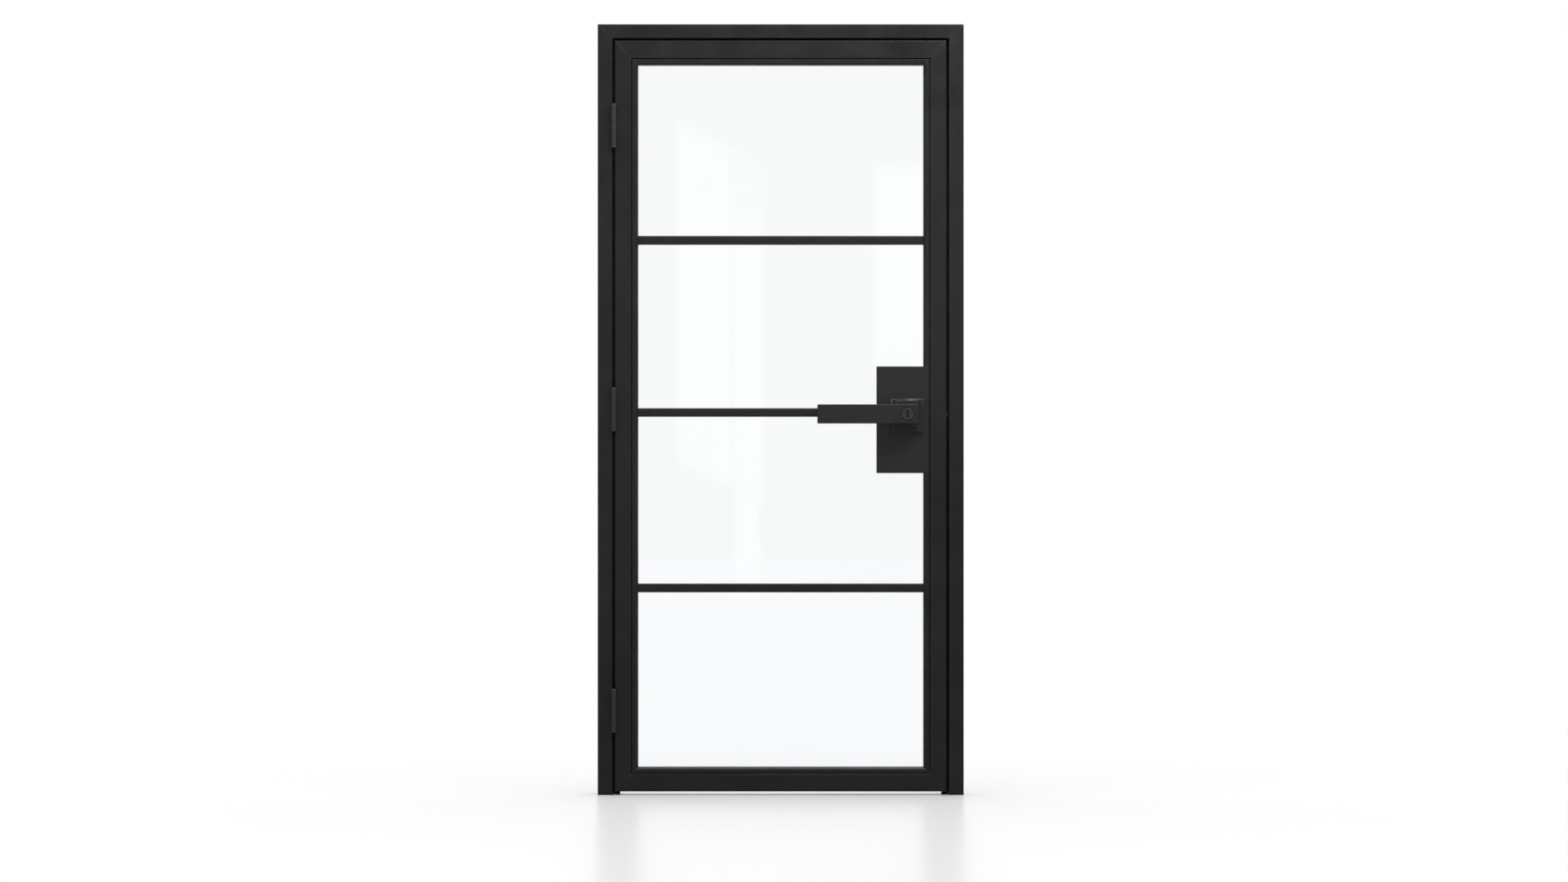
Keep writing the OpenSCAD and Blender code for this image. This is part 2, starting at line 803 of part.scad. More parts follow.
module rail_bead() {
    along_x() translate([0, 0, -leaf_x])
        member(0, leaf_size.x, swapped(bead_mitre)) translate([rail_face, 0]) bead_profile();
}

module bead_top() {
    color(black) hung_from(leaf_top) rail_bead();
}

module bead_bottom() {
    color(black) translate([0, 0, gap_bottom]) rail_bead();
}

// ---------- glazing bars ----------

// A bar on the front of the glass, from the hinge side's sight edge to x1
module bar(z, x1) {
    x0 = bar_end_gap - sight_x;
    c = bar_chamfer;
    half = bar_h / 2;
    y = glass_y + bar_d;
    color(black) translate([0, 0, z]) along_x() translate([0, 0, x0]) linear_extrude(x1 - bar_end_gap - x0)
        polygon([[-half, -glass_y], [-half, c - y], [c - half, -y], [half - c, -y], [half, c - y], [half, -glass_y]]);
}

module bar_front_low() { bar(low_bar_z, sight_x); }
module bar_front_mid() { bar(mid_bar_z, case_x0); }
module bar_front_high() { bar(high_bar_z, sight_x); }
module bar_back_low() { mirror([0, 1, 0]) bar_front_low(); }
module bar_back_mid() { mirror([0, 1, 0]) bar_front_mid(); }
module bar_back_high() { mirror([0, 1, 0]) bar_front_high(); }

// ---------- lock case ----------

// Places a child at each corner inside the lock case, on Y = 0
module at_case_corners() {
    for (x = [case_x0 + case_rim + plate_screw_inset, stile_x - case_rim - plate_screw_inset])
        for (z = [lock_low + case_rim + plate_screw_inset, lock_low + lock_h - case_rim - plate_screw_inset])
            translate([x, 0, z]) children();
}

// The screws that hold the back plate, with their heads in its face
module plate_screws(hole = false) {
    at_case_corners() translate([0, plate_y, 0]) rotate([0, 0, -90]) {
        if (hole) screw_hole_x(lock_plate_t + 20);
        else screw_x(lock_plate_t + 20);
    }
}

// The bolts that clamp the rosettes through the case, or their holes
module clamp_bolts(clear = 0) {
    for (side = [-1, 1]) translate([axis_x, 0, lever_z + side * rosette_bolt_pitch / 2]) {
        rod_y(-bolt_tip_y, bolt_tip_y + clear, screw_d / 2 + clear);
        rod_y(bolt_tip_y, bolt_tip_y + bolt_head_h + (clear > 0 ? eps : -0.5), screw_head_d / 2 + clear);
    }
}

module lock_case() {
    half_d = case_d / 2;
    rim_h = lock_h - 2 * case_rim;
    rim_x0 = case_x0 + case_rim;
    color(black_trim) difference() {
        union() {
            difference() {
                translate([case_x0, -half_d, lock_low]) cube([stile_x - case_x0, case_d, lock_h]);
                translate([rim_x0, -leaf_t, lock_low + case_rim])
                    cube([stile_x - case_rim - rim_x0, 2 * leaf_t, rim_h]);
            }
            at_case_corners() rod_y(-half_d, half_d, plate_screw_inset + eps);
        }
        // The shadow groove beside the stile
        translate([plate_x1, -leaf_t, lock_low - eps])
            cube([bead_groove + eps, leaf_t - bead_foot_y, lock_h + 2 * eps]);
        // The slot for the glass, on the three free sides
        difference() {
            translate([case_x0 - eps, -gasket_y, lock_low - eps])
                cube([stile_x - case_x0 + 2 * eps, 2 * gasket_y, lock_h + 2 * eps]);
            translate([case_x0 + case_slot, -leaf_t, lock_low + case_slot])
                cube([stile_x - case_x0, 2 * leaf_t, lock_h - 2 * case_slot]);
        }
        translate([0, 0, lever_z])
            rod_x(stile_x - case_rim - eps, stile_x + eps, latch_housing_d / 2 + seat_fit);
        plate_screws(hole = true);
    }
}

// A plate over the front of the lock case
module lock_plate() {
    neck_hole_r = hub_r + 2;
    color(black_trim) difference() {
        translate([case_x0 + lock_w / 2, -case_d / 2, lock_z]) bevelled_plate(lock_w, lock_h, lock_plate_t, arris);
        translate([axis_x, 0, lever_z]) rod_y(-leaf_t, 0, neck_hole_r);
        clamp_bolts(clear = seat_fit);
    }
}

module lock_plate_front() {
    lock_plate();
}

module lock_plate_back() {
    color(black_trim) difference() {
        mirror([0, 1, 0]) lock_plate();
        plate_screws(hole = true);
    }
}

module lock_plate_screws() {
    color(steel) plate_screws();
}

// ---------- levers ----------

// A rosette on the front plate: a square base with a raised block behind the lever
module rosette() {
    color(black_trim) difference() {
        union() {
            translate([axis_x, -plate_y, lever_z - rosette_drop])
                bevelled_plate(rosette_w, rosette_w, rosette_t, 2 * arris);
            translate([axis_x, -plate_y, lever_z])
                bevelled_plate(block_w, block_h, rosette_t + block_t, arris);
        }
        translate([axis_x, 0, lever_z]) {
            rod_y(-lever_y, 0, neck_d / 2 + run_fit);
            rod_y(-plate_y - spring_room_t, 0, spring_room_r);
        }
        clamp_bolts(clear = seat_fit);
    }
}

module rosette_front() {
    rosette();
}

module rosette_back() {
    color(black_trim) difference() {
        mirror([0, 1, 0]) rosette();
        clamp_bolts(clear = seat_fit);
    }
}

module rosette_bolts() {
    color(steel) clamp_bolts();
}

module return_springs() {
    color(steel) for (side = [0, 1]) mirror([0, side, 0])
        translate([axis_x, -plate_y, lever_z]) rotate([90, 0, 0])
            coil(return_spring[0], return_spring[1], return_spring[2], return_spring[3]);
}

// A lever's bar, from Y = -y_face back, with chamfered long edges and rounded corners
module lever_bar(y_face) {
    r = 2;
    length = lever_l + lever_tail;
    intersection() {
        translate([axis_x - lever_l - eps, 0, lever_z]) along_x() linear_extrude(length + 2 * eps)
            polygon(chamfered(-lever_h / 2, -y_face, lever_h / 2, lever_t - y_face, lever_chamfer));
        sheet(-y_face - eps, lever_t - y_face + eps) translate([axis_x - lever_l, lever_z - lever_h / 2]) {
            translate([r, 0]) square([length - 2 * r, lever_h]);
            translate([0, r]) square([length, lever_h - 2 * r]);
            for (x = [r, length - r]) for (z = [r, lever_h - r]) translate([x, z]) circle(r = r);
        }
    }
}

// A lever in front of the leaf: its bar, its neck and the socket for the spindle
module lever(y_face) {
    difference() {
        union() {
            lever_bar(y_face);
            translate([axis_x, 0, lever_z]) rod_y(lever_t - y_face - eps, -neck_end_y, neck_d / 2);
        }
        spindle_bar();
        grub_screws(hole = true);
    }
}

module lever_front() {
    color(black_trim) difference() {
        lever(lever_y - cylinder_proud);
        translate([axis_x, 0, lever_z]) {
            rod_y(-lever_y - eps, cylinder_flange_t - lever_y, cylinder_d / 2 + seat_fit);
            rod_y(-lever_y, -barrel_back_y, barrel_d / 2 + seat_fit);
            rod_y(-barrel_back_y - eps, -spindle_front_y + eps, plug_d / 2 + slide_fit);
        }
    }
}

module lever_back() {
    color(black_trim) difference() {
        mirror([0, 1, 0]) lever(lever_y);
        spindle_bar();
    }
}

// The square bar between the levers
module spindle_bar() {
    translate([axis_x - spindle_s / 2, -spindle_front_y, lever_z - spindle_s / 2])
        cube([spindle_s, spindle_front_y + spindle_back_y, spindle_s]);
}

module spindle() {
    color(steel) spindle_bar();
}

// The grub screws under each neck that lock the levers to the spindle, or their holes
module grub_screws(hole = false) {
    r = screw_d / 2 + (hole ? seat_fit : 0);
    length = neck_d / 2 - spindle_s / 2 - 0.5;
    for (y = [-grub_y, grub_y])
        translate([axis_x, y, lever_z - spindle_s / 2 - length - (hole ? eps : 0)])
            cylinder(r = r, h = length + (hole ? eps : 0));
}

module lever_grub_screws() {
    color(steel) grub_screws();
}

// The follower that the spindle turns, with the arm that draws the latch bolt back
module follower() {
    thickness = 10;
    color(steel) translate([axis_x, 0, lever_z]) difference() {
        union() {
            rod_y(-thickness / 2, thickness / 2, hub_r);
            translate([-arm_w / 2, -thickness / 2, 0]) cube([arm_w, thickness, arm_r]);
        }
        translate([-spindle_s / 2, -thickness, -spindle_s / 2]) cube([spindle_s, 2 * thickness, spindle_s]);
    }
}

// ---------- key cylinder ----------

module key_cylinder() {
    groove_t = 1;
    face_y = -lever_y;
    color(black_trim) translate([axis_x, 0, lever_z]) difference() {
        union() {
            rod_y(face_y, face_y + cylinder_flange_t, disc_d / 2);
            rod_y(face_y + groove_t + cylinder_proud, face_y + cylinder_flange_t, cylinder_d / 2);
            rod_y(face_y + eps, -barrel_back_y, barrel_d / 2);
        }
        rod_y(face_y - eps, face_y + plug_face_t, plug_face_d / 2 + run_fit);
        rod_y(face_y, -barrel_back_y + eps, plug_d / 2 + run_fit);
    }
}

// The keyhole's outline: a round top, a narrow slot and a wider foot
module keyhole_outline() {
    top_r = 4;
    foot_r = 3;
    slot_w = 3.8;
    reach = plug_face_d / 2 - 1;
    translate([0, reach - top_r]) circle(r = top_r);
    translate([0, foot_r - reach]) circle(r = foot_r);
    translate([-slot_w / 2, foot_r - reach]) square([slot_w, 2 * reach - top_r - foot_r]);
}

module key_plug() {
    face_y = -lever_y;
    key_way_d = 14;
    color(black_trim) translate([axis_x, 0, lever_z]) {
        difference() {
            union() {
                rod_y(face_y, face_y + plug_face_t - run_fit, plug_face_d / 2);
                rod_y(face_y + eps, -barrel_back_y, plug_d / 2);
            }
            sheet(face_y - eps, face_y + plug_face_t - 1) keyhole_outline();
            sheet(face_y, face_y + key_way_d) intersection() {
                keyhole_outline();
                circle(r = plug_d / 2 - 1);
            }
        }
        translate([-tailpiece.x / 2, -barrel_back_y - eps, -tailpiece.y / 2])
            cube([tailpiece.x, tailpiece_l + eps, tailpiece.y]);
    }
}

// ---------- latch ----------

module latch_screw_places() {
    for (side = [-1, 1]) translate([leaf_x, 0, lever_z + side * (face_plate_h / 2 - 7)])
        mirror([1, 0, 0]) children();
}

module latch_faceplate() {
    hole_w = latch_nose_w + 2 * slide_fit;
    hole_h = latch_nose_h + 2 * slide_fit;
    color(black_trim) difference() {
        translate([leaf_x - insert_t, seat_fit - face_plate_w / 2, lever_z - face_plate_h / 2 + seat_fit])
            cube([insert_t, face_plate_w - 2 * seat_fit, face_plate_h - 2 * seat_fit]);
        translate([leaf_x - insert_t - eps, -hole_w / 2, lever_z - hole_h / 2])
            cube([insert_t + 2 * eps, hole_w, hole_h]);
        latch_screw_places() screw_hole_x(latch_screw_l);
    }
}

module latch_screws() {
    color(steel) latch_screw_places() screw_x(latch_screw_l);
}

module latch_housing() {
    color(black_trim) translate([0, 0, lever_z]) difference() {
        rod_x(housing_x0, housing_x1, latch_housing_d / 2);
        rod_x(housing_x0 + housing_end_t, housing_x1 + eps, latch_bore_r);
        rod_x(housing_x0 - eps, housing_x0 + housing_end_t + eps, rod_r + slide_fit);
    }
}

// The spring behind the bolt, drawn as short as the drawn-back bolt makes it
module latch_spring() {
    wire = 1.4;
    x0 = housing_x0 + housing_end_t;
    length = body_x1 - body_l - latch_travel - slide_fit - x0;
    color(steel) translate([x0, 0, lever_z]) rotate([0, 90, 0]) coil(latch_bore_r - 2, wire, length, 7);
}

// The bolt: a bevelled nose, a round body, a rod and the hooked tail that the follower draws
module latch_bolt() {
    nose_x = leaf_x + latch_out;
    bevel = 5;
    half = latch_nose_w / 2;
    tail_x1 = axis_x + tail_x;
    hook_x = axis_x - arm_w / 2 - hook_gap;
    color(black_trim) translate([0, 0, lever_z]) {
        translate([0, 0, -latch_nose_h / 2]) linear_extrude(latch_nose_h) polygon([
            [body_x1 - eps, -half], [nose_x, -half], [nose_x, half - bevel], [nose_x - bevel, half], [body_x1 - eps, half]
        ]);
        rod_x(body_x1 - body_l, body_x1, latch_bore_r - slide_fit);
        rod_x(tail_x1 - tail_t, body_x1 - body_l + eps, rod_r);
        translate([tail_x1 - tail_t, -rod_r, -rod_r]) cube([tail_t, 2 * rod_r, rod_r + hook_high + tail_t]);
        translate([hook_x - hook_t, -rod_r, hook_high]) cube([tail_x1 - hook_x + hook_t, 2 * rod_r, tail_t]);
        translate([hook_x - hook_t, -rod_r, hook_low]) cube([hook_t, 2 * rod_r, hook_high - hook_low + eps]);
    }
}

// ---------- pieces ----------

jamb_hinge_side();
jamb_latch_side();
head();
frame_corner_cleats();
seal_hinge_side();
seal_latch_side();
seal_head();
strike_plate();
strike_box();
strike_screws();
hinge_top_frame_leaf();
hinge_mid_frame_leaf();
hinge_low_frame_leaf();
hinge_pins();
hinge_frame_screws();
stile_hinge_side();
stile_latch_side();
rail_top();
rail_bottom();
leaf_corner_cleats();
glass_pane();
gasket_front();
gasket_back();
setting_blocks();
bead_hinge_side();
bead_top();
bead_bottom();
bead_latch_upper();
bead_latch_lower();
bar_front_low();
bar_front_mid();
bar_front_high();
bar_back_low();
bar_back_mid();
bar_back_high();
hinge_top_door_leaf();
hinge_mid_door_leaf();
hinge_low_door_leaf();
hinge_door_screws();
hinge_washers();
lock_case();
lock_plate_front();
lock_plate_back();
lock_plate_screws();
rosette_front();
rosette_back();
rosette_bolts();
return_springs();
latch_housing();
latch_faceplate();
latch_screws();
latch_spring();
latch_bolt();
lever_front();
lever_back();
spindle();
follower();
lever_grub_screws();
key_cylinder();
key_plug();
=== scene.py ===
"""The looks of a framed glass door: softened edges, turned fittings, finishes, light and camera."""
import json
import logging
import math
from dataclasses import dataclass, field
from enum import Enum

import bmesh
import bpy
from mathutils import Matrix, Vector


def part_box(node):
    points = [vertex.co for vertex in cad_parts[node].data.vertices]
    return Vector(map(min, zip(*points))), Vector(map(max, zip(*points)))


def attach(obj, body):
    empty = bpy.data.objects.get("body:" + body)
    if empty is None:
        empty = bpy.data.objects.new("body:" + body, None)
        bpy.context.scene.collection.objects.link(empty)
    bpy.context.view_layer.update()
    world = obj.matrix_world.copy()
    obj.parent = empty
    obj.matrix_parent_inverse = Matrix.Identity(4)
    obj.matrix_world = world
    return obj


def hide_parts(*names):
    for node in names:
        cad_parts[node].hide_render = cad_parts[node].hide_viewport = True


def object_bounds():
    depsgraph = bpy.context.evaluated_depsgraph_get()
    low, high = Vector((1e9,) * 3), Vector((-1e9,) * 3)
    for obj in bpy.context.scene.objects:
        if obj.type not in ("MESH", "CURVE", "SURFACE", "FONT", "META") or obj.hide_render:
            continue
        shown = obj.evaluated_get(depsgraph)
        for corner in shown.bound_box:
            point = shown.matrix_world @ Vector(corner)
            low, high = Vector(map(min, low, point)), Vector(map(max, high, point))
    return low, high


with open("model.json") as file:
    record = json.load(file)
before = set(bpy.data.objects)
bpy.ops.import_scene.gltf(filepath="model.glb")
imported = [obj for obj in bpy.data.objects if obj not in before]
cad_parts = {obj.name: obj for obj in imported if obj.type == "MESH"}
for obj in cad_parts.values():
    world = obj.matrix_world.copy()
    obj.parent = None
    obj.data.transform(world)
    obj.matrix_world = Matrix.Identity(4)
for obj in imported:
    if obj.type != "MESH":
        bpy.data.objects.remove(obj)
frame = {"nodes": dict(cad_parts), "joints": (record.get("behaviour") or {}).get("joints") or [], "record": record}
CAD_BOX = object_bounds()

log = logging.getLogger("glass_door")

MM = 0.001
# Points nearer than this are one point
WELD = 1e-6
# The band that holds most of a noise's values
NOISE_BAND = (0.3, 0.7)
Colour = tuple[float, float, float]
Pair = tuple[float, float]
Point = tuple[float, float, float]
Box = tuple[Vector, Vector]


# ---------------------------------------------------------------- options


class Slot(Enum):
    """The record's material slots, which are the door's finishes."""

    PROFILE = "profile"
    LOCK = "lock"
    LEVER = "lever"
    HARDWARE = "hardware"
    CYLINDER = "cylinder"
    STEEL = "steel"
    BEARING = "bearing"
    CLEAT = "cleat"
    RUBBER = "rubber"
    GLASS = "glass"


class Heading(Enum):
    """The way a screw's head faces, out of the material it is driven into."""

    LEFT = (-1.0, 0.0, 0.0)
    RIGHT = (1.0, 0.0, 0.0)
    FRONT = (0.0, -1.0, 0.0)
    BACK = (0.0, 1.0, 0.0)
    DOWN = (0.0, 0.0, -1.0)

    def turn(self) -> Matrix:
        """The rotation that carries +Z, a screw's modelled heading, to this heading."""
        return Vector(self.value).to_track_quat("Z", "Y").to_matrix().to_4x4()


class Drive(Enum):
    """The recess in a screw's head."""

    STAR = "star"
    HEX = "hex"


# ---------------------------------------------------------------- shader helpers


class NodeTree:
    """A short way to add and link nodes in a material, a world or a group."""

    def __init__(self, tree: bpy.types.NodeTree) -> None:
        """Takes over a tree and empties it.

        Args:
            tree: The node tree of a material, a world or a group.
        """
        self.tree = tree
        self.tree.nodes.clear()
        self.output: bpy.types.Node | None = None

    def add(self, kind: str, settings: dict | None = None, **inputs: object) -> bpy.types.Node:
        """Adds a node and sets its inputs.

        Args:
            kind: The node's type name without the ShaderNode prefix, or a full type name.
            settings: Values for the node's own properties.
            inputs: Socket names, with underscores for spaces, and a value or an output socket for each.

        Returns:
            The new node.
        """
        full = kind if kind.startswith("Node") else f"ShaderNode{kind}"
        node = self.tree.nodes.new(full)
        for name, value in (settings or {}).items():
            setattr(node, name, value)
        for name, value in inputs.items():
            self.feed(node.inputs[name.replace("_", " ")], value)
        return node

    def feed(self, socket: bpy.types.NodeSocket, value: object) -> None:
        """Links an output to a socket, or sets the socket's own value.

        Args:
            socket: An input of a node.
            value: An output socket, or a plain value.
        """
        if isinstance(value, bpy.types.NodeSocket):
            self.tree.links.new(value, socket)
        else:
            socket.default_value = value

    def math(self, operation: str, *values: object) -> bpy.types.NodeSocket:
        """Adds a Math node and returns its result.

        Args:
            operation: The Math node's operation.
            values: Its inputs in order, each a number or an output socket.

        Returns:
            The result's socket.
        """
        node = self.add("Math", {"operation": operation})
        for socket, value in zip(node.inputs, values):
            self.feed(socket, value)
        return node.outputs[0]

    def remap(self, value: bpy.types.NodeSocket, low: float, high: float, to_low: float, to_high: float,
              smooth: bool = False) -> bpy.types.NodeSocket:
        """Adds a Map Range node from low..high to to_low..to_high and returns its result.

        Args:
            value: The output to remap.
            low: The value that becomes to_low.
            high: The value that becomes to_high.
            to_low: The low end of the result.
            to_high: The high end of the result.
            smooth: Whether the ends are eased.

        Returns:
            The result's socket.
        """
        kind = "SMOOTHSTEP" if smooth else "LINEAR"
        node = self.add("MapRange", {"interpolation_type": kind}, Value=value)
        for name, number in (("From Min", low), ("From Max", high), ("To Min", to_low), ("To Max", to_high)):
            node.inputs[name].default_value = number
        return node.outputs["Result"]

    def blend(self, factor: bpy.types.NodeSocket, first: object, second: object) -> bpy.types.NodeSocket:
        """Adds a colour Mix node between two colours, each a plain one or an output, and returns its result.

        Args:
            factor: How much of the second colour shows.
            first: A plain colour or an output socket.
            second: A plain colour or an output socket.

        Returns:
            The result's socket.
        """
        node = self.add("Mix", {"data_type": "RGBA"})
        self.feed(node.inputs["Factor"], factor)
        for socket, colour in ((node.inputs[6], first), (node.inputs[7], second)):
            self.feed(socket, colour if isinstance(colour, bpy.types.NodeSocket) else (*colour, 1.0))
        return node.outputs[2]

    def mix(self, factor: object, first: bpy.types.Node, second: bpy.types.Node) -> bpy.types.NodeSocket:
        """Adds a Mix Shader node between two shaders and returns its result.

        Args:
            factor: How much of the second shader shows.
            first: A shader node.
            second: A shader node.

        Returns:
            The result's socket.
        """
        node = self.add("MixShader", Fac=factor)
        self.feed(node.inputs[1], first.outputs[0])
        self.feed(node.inputs[2], second.outputs[0])
        return node.outputs[0]

    def emboss(self, shader: bpy.types.Node, height: bpy.types.NodeSocket, depth: float,
               strength: float) -> None:
        """Gives a shader a bump of a height, which is a mask, and a depth in metres.

        Args:
            shader: The shader that gets the bump.
            height: A mask of the height.
            depth: The height of a full mask, in metres.
            strength: The bump's strength, up to 1.
        """
        bump = self.add("Bump", Strength=strength, Distance=depth, Height=height)
        self.feed(shader.inputs["Normal"], bump.outputs["Normal"])

    def show(self, surface: bpy.types.NodeSocket) -> None:
        """Makes a shader the surface of the material or the world."""
        self.feed(self.output.inputs["Surface"], surface)


GroupParts = tuple[NodeTree, bpy.types.Node, bpy.types.Node]


def new_group(name: str, inputs: dict[str, float], outputs: dict[str, str]) -> GroupParts:
    """Makes an empty shader node group.

    Args:
        name: The group's name.
        inputs: Each float input's name and default.
        outputs: Each output's name and socket type.

    Returns:
        The group's tree, its input node and its output node.
    """
    group = bpy.data.node_groups.new(name, "ShaderNodeTree")
    for label, default in inputs.items():
        socket = group.interface.new_socket(name=label, in_out="INPUT", socket_type="NodeSocketFloat")
        socket.default_value = default
    for label, kind in outputs.items():
        group.interface.new_socket(name=label, in_out="OUTPUT", socket_type=kind)
    tree = NodeTree(group)
    return tree, tree.add("NodeGroupInput"), tree.add("NodeGroupOutput")


def grain_group() -> bpy.types.NodeTree:
    """The pebbled skin of a sprayed or moulded surface, with a slow drift of tone.

    Returns:
        A group that puts out Height for a bump, and Tone and Sheen masks from 0 to 1.
    """
    tree, given, out = new_group(
        "surface_grain", {"Scale": 900.0, "Fine": 0.35, "Drift Scale": 3.0},
        {"Height": "NodeSocketFloat", "Tone": "NodeSocketFloat", "Sheen": "NodeSocketFloat"})
    place = tree.add("TexCoord").outputs["Object"]
    pebbles = tree.add("TexNoise", Vector=place, Scale=given.outputs["Scale"], Detail=2.0, Roughness=0.45)
    specks_per_pebble = 3.1
    finer = tree.math("MULTIPLY", given.outputs["Scale"], specks_per_pebble)
    specks = tree.add("TexNoise", Vector=place, Scale=finer, Detail=1.0, Roughness=0.5)
    fine = tree.math("MULTIPLY", specks.outputs["Fac"], given.outputs["Fine"])
    tree.feed(out.inputs["Height"], tree.math("ADD", pebbles.outputs["Fac"], fine))
    drift = tree.add("TexNoise", Vector=place, Scale=given.outputs["Drift Scale"], Detail=3.0, Roughness=0.55)
    tree.feed(out.inputs["Tone"], tree.remap(drift.outputs["Fac"], *NOISE_BAND, 0.0, 1.0, smooth=True))
    wipes_per_drift = 6.0
    wipe_scale = tree.math("MULTIPLY", given.outputs["Drift Scale"], wipes_per_drift)
    wipes = tree.add("TexNoise", Vector=place, Scale=wipe_scale, Detail=4.0, Roughness=0.6)
    tree.feed(out.inputs["Sheen"], tree.remap(wipes.outputs["Fac"], *NOISE_BAND, 0.0, 1.0))
    return tree.tree


def streak_group() -> bpy.types.NodeTree:
    """The drawn lines of worked metal, stretched along one axis.

    Returns:
        A group that puts out a Streak mask from 0 to 1 and the same as a Height.
    """
    tree, given, out = new_group(
        "drawn_streaks", {"Along X": 1.0, "Along Y": 1.0, "Along Z": 0.04, "Scale": 1500.0},
        {"Height": "NodeSocketFloat", "Streak": "NodeSocketFloat"})
    place = tree.add("TexCoord").outputs["Object"]
    squeeze = tree.add("CombineXYZ", X=given.outputs["Along X"], Y=given.outputs["Along Y"],
                       Z=given.outputs["Along Z"])
    stretched = tree.add("VectorMath", {"operation": "MULTIPLY"})
    tree.feed(stretched.inputs[0], place)
    tree.feed(stretched.inputs[1], squeeze.outputs[0])
    lines = tree.add("TexNoise", Vector=stretched.outputs[0], Scale=given.outputs["Scale"], Detail=3.0,
                     Roughness=0.6)
    tree.feed(out.inputs["Height"], lines.outputs["Fac"])
    line_band = (0.35, 0.65)
    tree.feed(out.inputs["Streak"], tree.remap(lines.outputs["Fac"], *line_band, 0.0, 1.0))
    return tree.tree


def worn_and_highlit_edge_group() -> bpy.types.NodeTree:
    """The outer edges, worn by hands and cloths and painted lighter as a highlight where they catch light, broken
    up by noise.

    Returns:
        A group that puts out an Edge mask from 0 to 1.
    """
    tree, given, out = new_group(
        "worn_and_highlit_edges", {"Reach": 0.0012, "Amount": 1.0, "Break Up": 60.0}, {"Edge": "NodeSocketFloat"})
    rounded = tree.add("Bevel", {"samples": 4}, Radius=given.outputs["Reach"])
    flat = tree.add("NewGeometry").outputs["Normal"]
    lean = tree.add("VectorMath", {"operation": "DOT_PRODUCT"})
    tree.feed(lean.inputs[0], rounded.outputs["Normal"])
    tree.feed(lean.inputs[1], flat)
    flat_lean, edge_lean = 0.995, 0.90
    edge = tree.remap(lean.outputs["Value"], flat_lean, edge_lean, 0.0, 1.0, smooth=True)
    place = tree.add("TexCoord").outputs["Object"]
    patches = tree.add("TexNoise", Vector=place, Scale=given.outputs["Break Up"], Detail=3.0, Roughness=0.6)
    patch_band, least_edge_mark = (0.35, 0.65), 0.35
    broken = tree.remap(patches.outputs["Fac"], *patch_band, least_edge_mark, 1.0)
    # The edge mask marks both real wear and where a painted highlight goes on the edges
    worn_and_highlit = tree.math("MULTIPLY", tree.math("MULTIPLY", edge, broken), given.outputs["Amount"])
    tree.feed(out.inputs["Edge"], worn_and_highlit)
    return tree.tree


class Groups:
    """The node groups that more than one finish uses, each made once."""

    made: dict[str, bpy.types.NodeTree] = {}

    @classmethod
    def place(cls, tree: NodeTree, name: str, **values: float) -> bpy.types.Node:
        """Places a group in a material with its own values.

        Args:
            tree: The material's tree.
            name: grain, streaks or worn_and_highlit_edges.
            values: The group's inputs, with underscores for spaces.

        Returns:
            The group's node.
        """
        makers = {"grain": grain_group, "streaks": streak_group, "worn_and_highlit_edges": worn_and_highlit_edge_group}
        if name not in cls.made:
            cls.made[name] = makers[name]()
        node = tree.add("Group", {"node_tree": cls.made[name]})
        for label, value in values.items():
            node.inputs[label.replace("_", " ")].default_value = value
        return node


def new_material(name: str) -> tuple[NodeTree, bpy.types.Material]:
    """Makes a material whose tree holds only its output.

    Args:
        name: The material's name.

    Returns:
        The material's tree and the material.
    """
    material = bpy.data.materials.new(name)
    material.use_nodes = True
    tree = NodeTree(material.node_tree)
    tree.output = tree.add("OutputMaterial")
    return tree, material


def principled(name: str, **constants: object) -> tuple[NodeTree, bpy.types.Node, bpy.types.Material]:
    """Makes a material with one Principled shader, with constants set on its own sockets.

    Args:
        name: The material's name.
        constants: Socket names, with underscores for spaces, and their values.

    Returns:
        The tree, the shader node and the material.
    """
    tree, material = new_material(name)
    shader = tree.add("BsdfPrincipled", **constants)
    tree.show(shader.outputs["BSDF"])
    return tree, shader, material


# ---------------------------------------------------------------- finishes


@dataclass(frozen=True)
class PowderCoat:
    """A satin black powder coat: pebbled, with a slow drift of tone and sheen, and edges painted lighter, partly
    as wear and partly as a painted highlight.
    """

    name: str
    deep: Colour
    pale: Colour
    roughness: Pair
    grain: float = 900.0
    grain_depth: float = 0.04 * MM
    grain_strength: float = 0.6
    fine: float = 0.35
    drift: float = 2.2
    # The pale colour of the edges and how much of it shows: partly wear, partly a painted highlight
    edge_wear_and_highlight_colour: Colour = (0.130, 0.136, 0.140)
    edge_wear_and_highlight_reach: float = 1.0 * MM
    edge_wear_and_highlight_patches: float = 45.0
    rubbed_polish: float = 0.08
    edge_wear_and_highlight: float = 0.85

    def make(self) -> bpy.types.Material:
        """Builds the material.

        Returns:
            The finished material.
        """
        tree, shader, material = principled(self.name, IOR=1.5)
        skin = Groups.place(tree, "grain", Scale=self.grain, Fine=self.fine, Drift_Scale=self.drift)
        edges = Groups.place(tree, "worn_and_highlit_edges", Reach=self.edge_wear_and_highlight_reach, Amount=self.edge_wear_and_highlight,
                             Break_Up=self.edge_wear_and_highlight_patches)
        coat = tree.blend(skin.outputs["Tone"], self.deep, self.pale)
        # Edges painted lighter: partly wear, partly a painted highlight where the edges catch light
        tree.feed(shader.inputs["Base Color"], tree.blend(edges.outputs["Edge"], coat, self.edge_wear_and_highlight_colour))
        satin = tree.remap(skin.outputs["Sheen"], 0.0, 1.0, *self.roughness)
        polish = tree.math("MULTIPLY", edges.outputs["Edge"], self.rubbed_polish)
        tree.feed(shader.inputs["Roughness"], tree.math("SUBTRACT", satin, polish))
        tree.emboss(shader, skin.outputs["Height"], self.grain_depth, self.grain_strength)
        return material


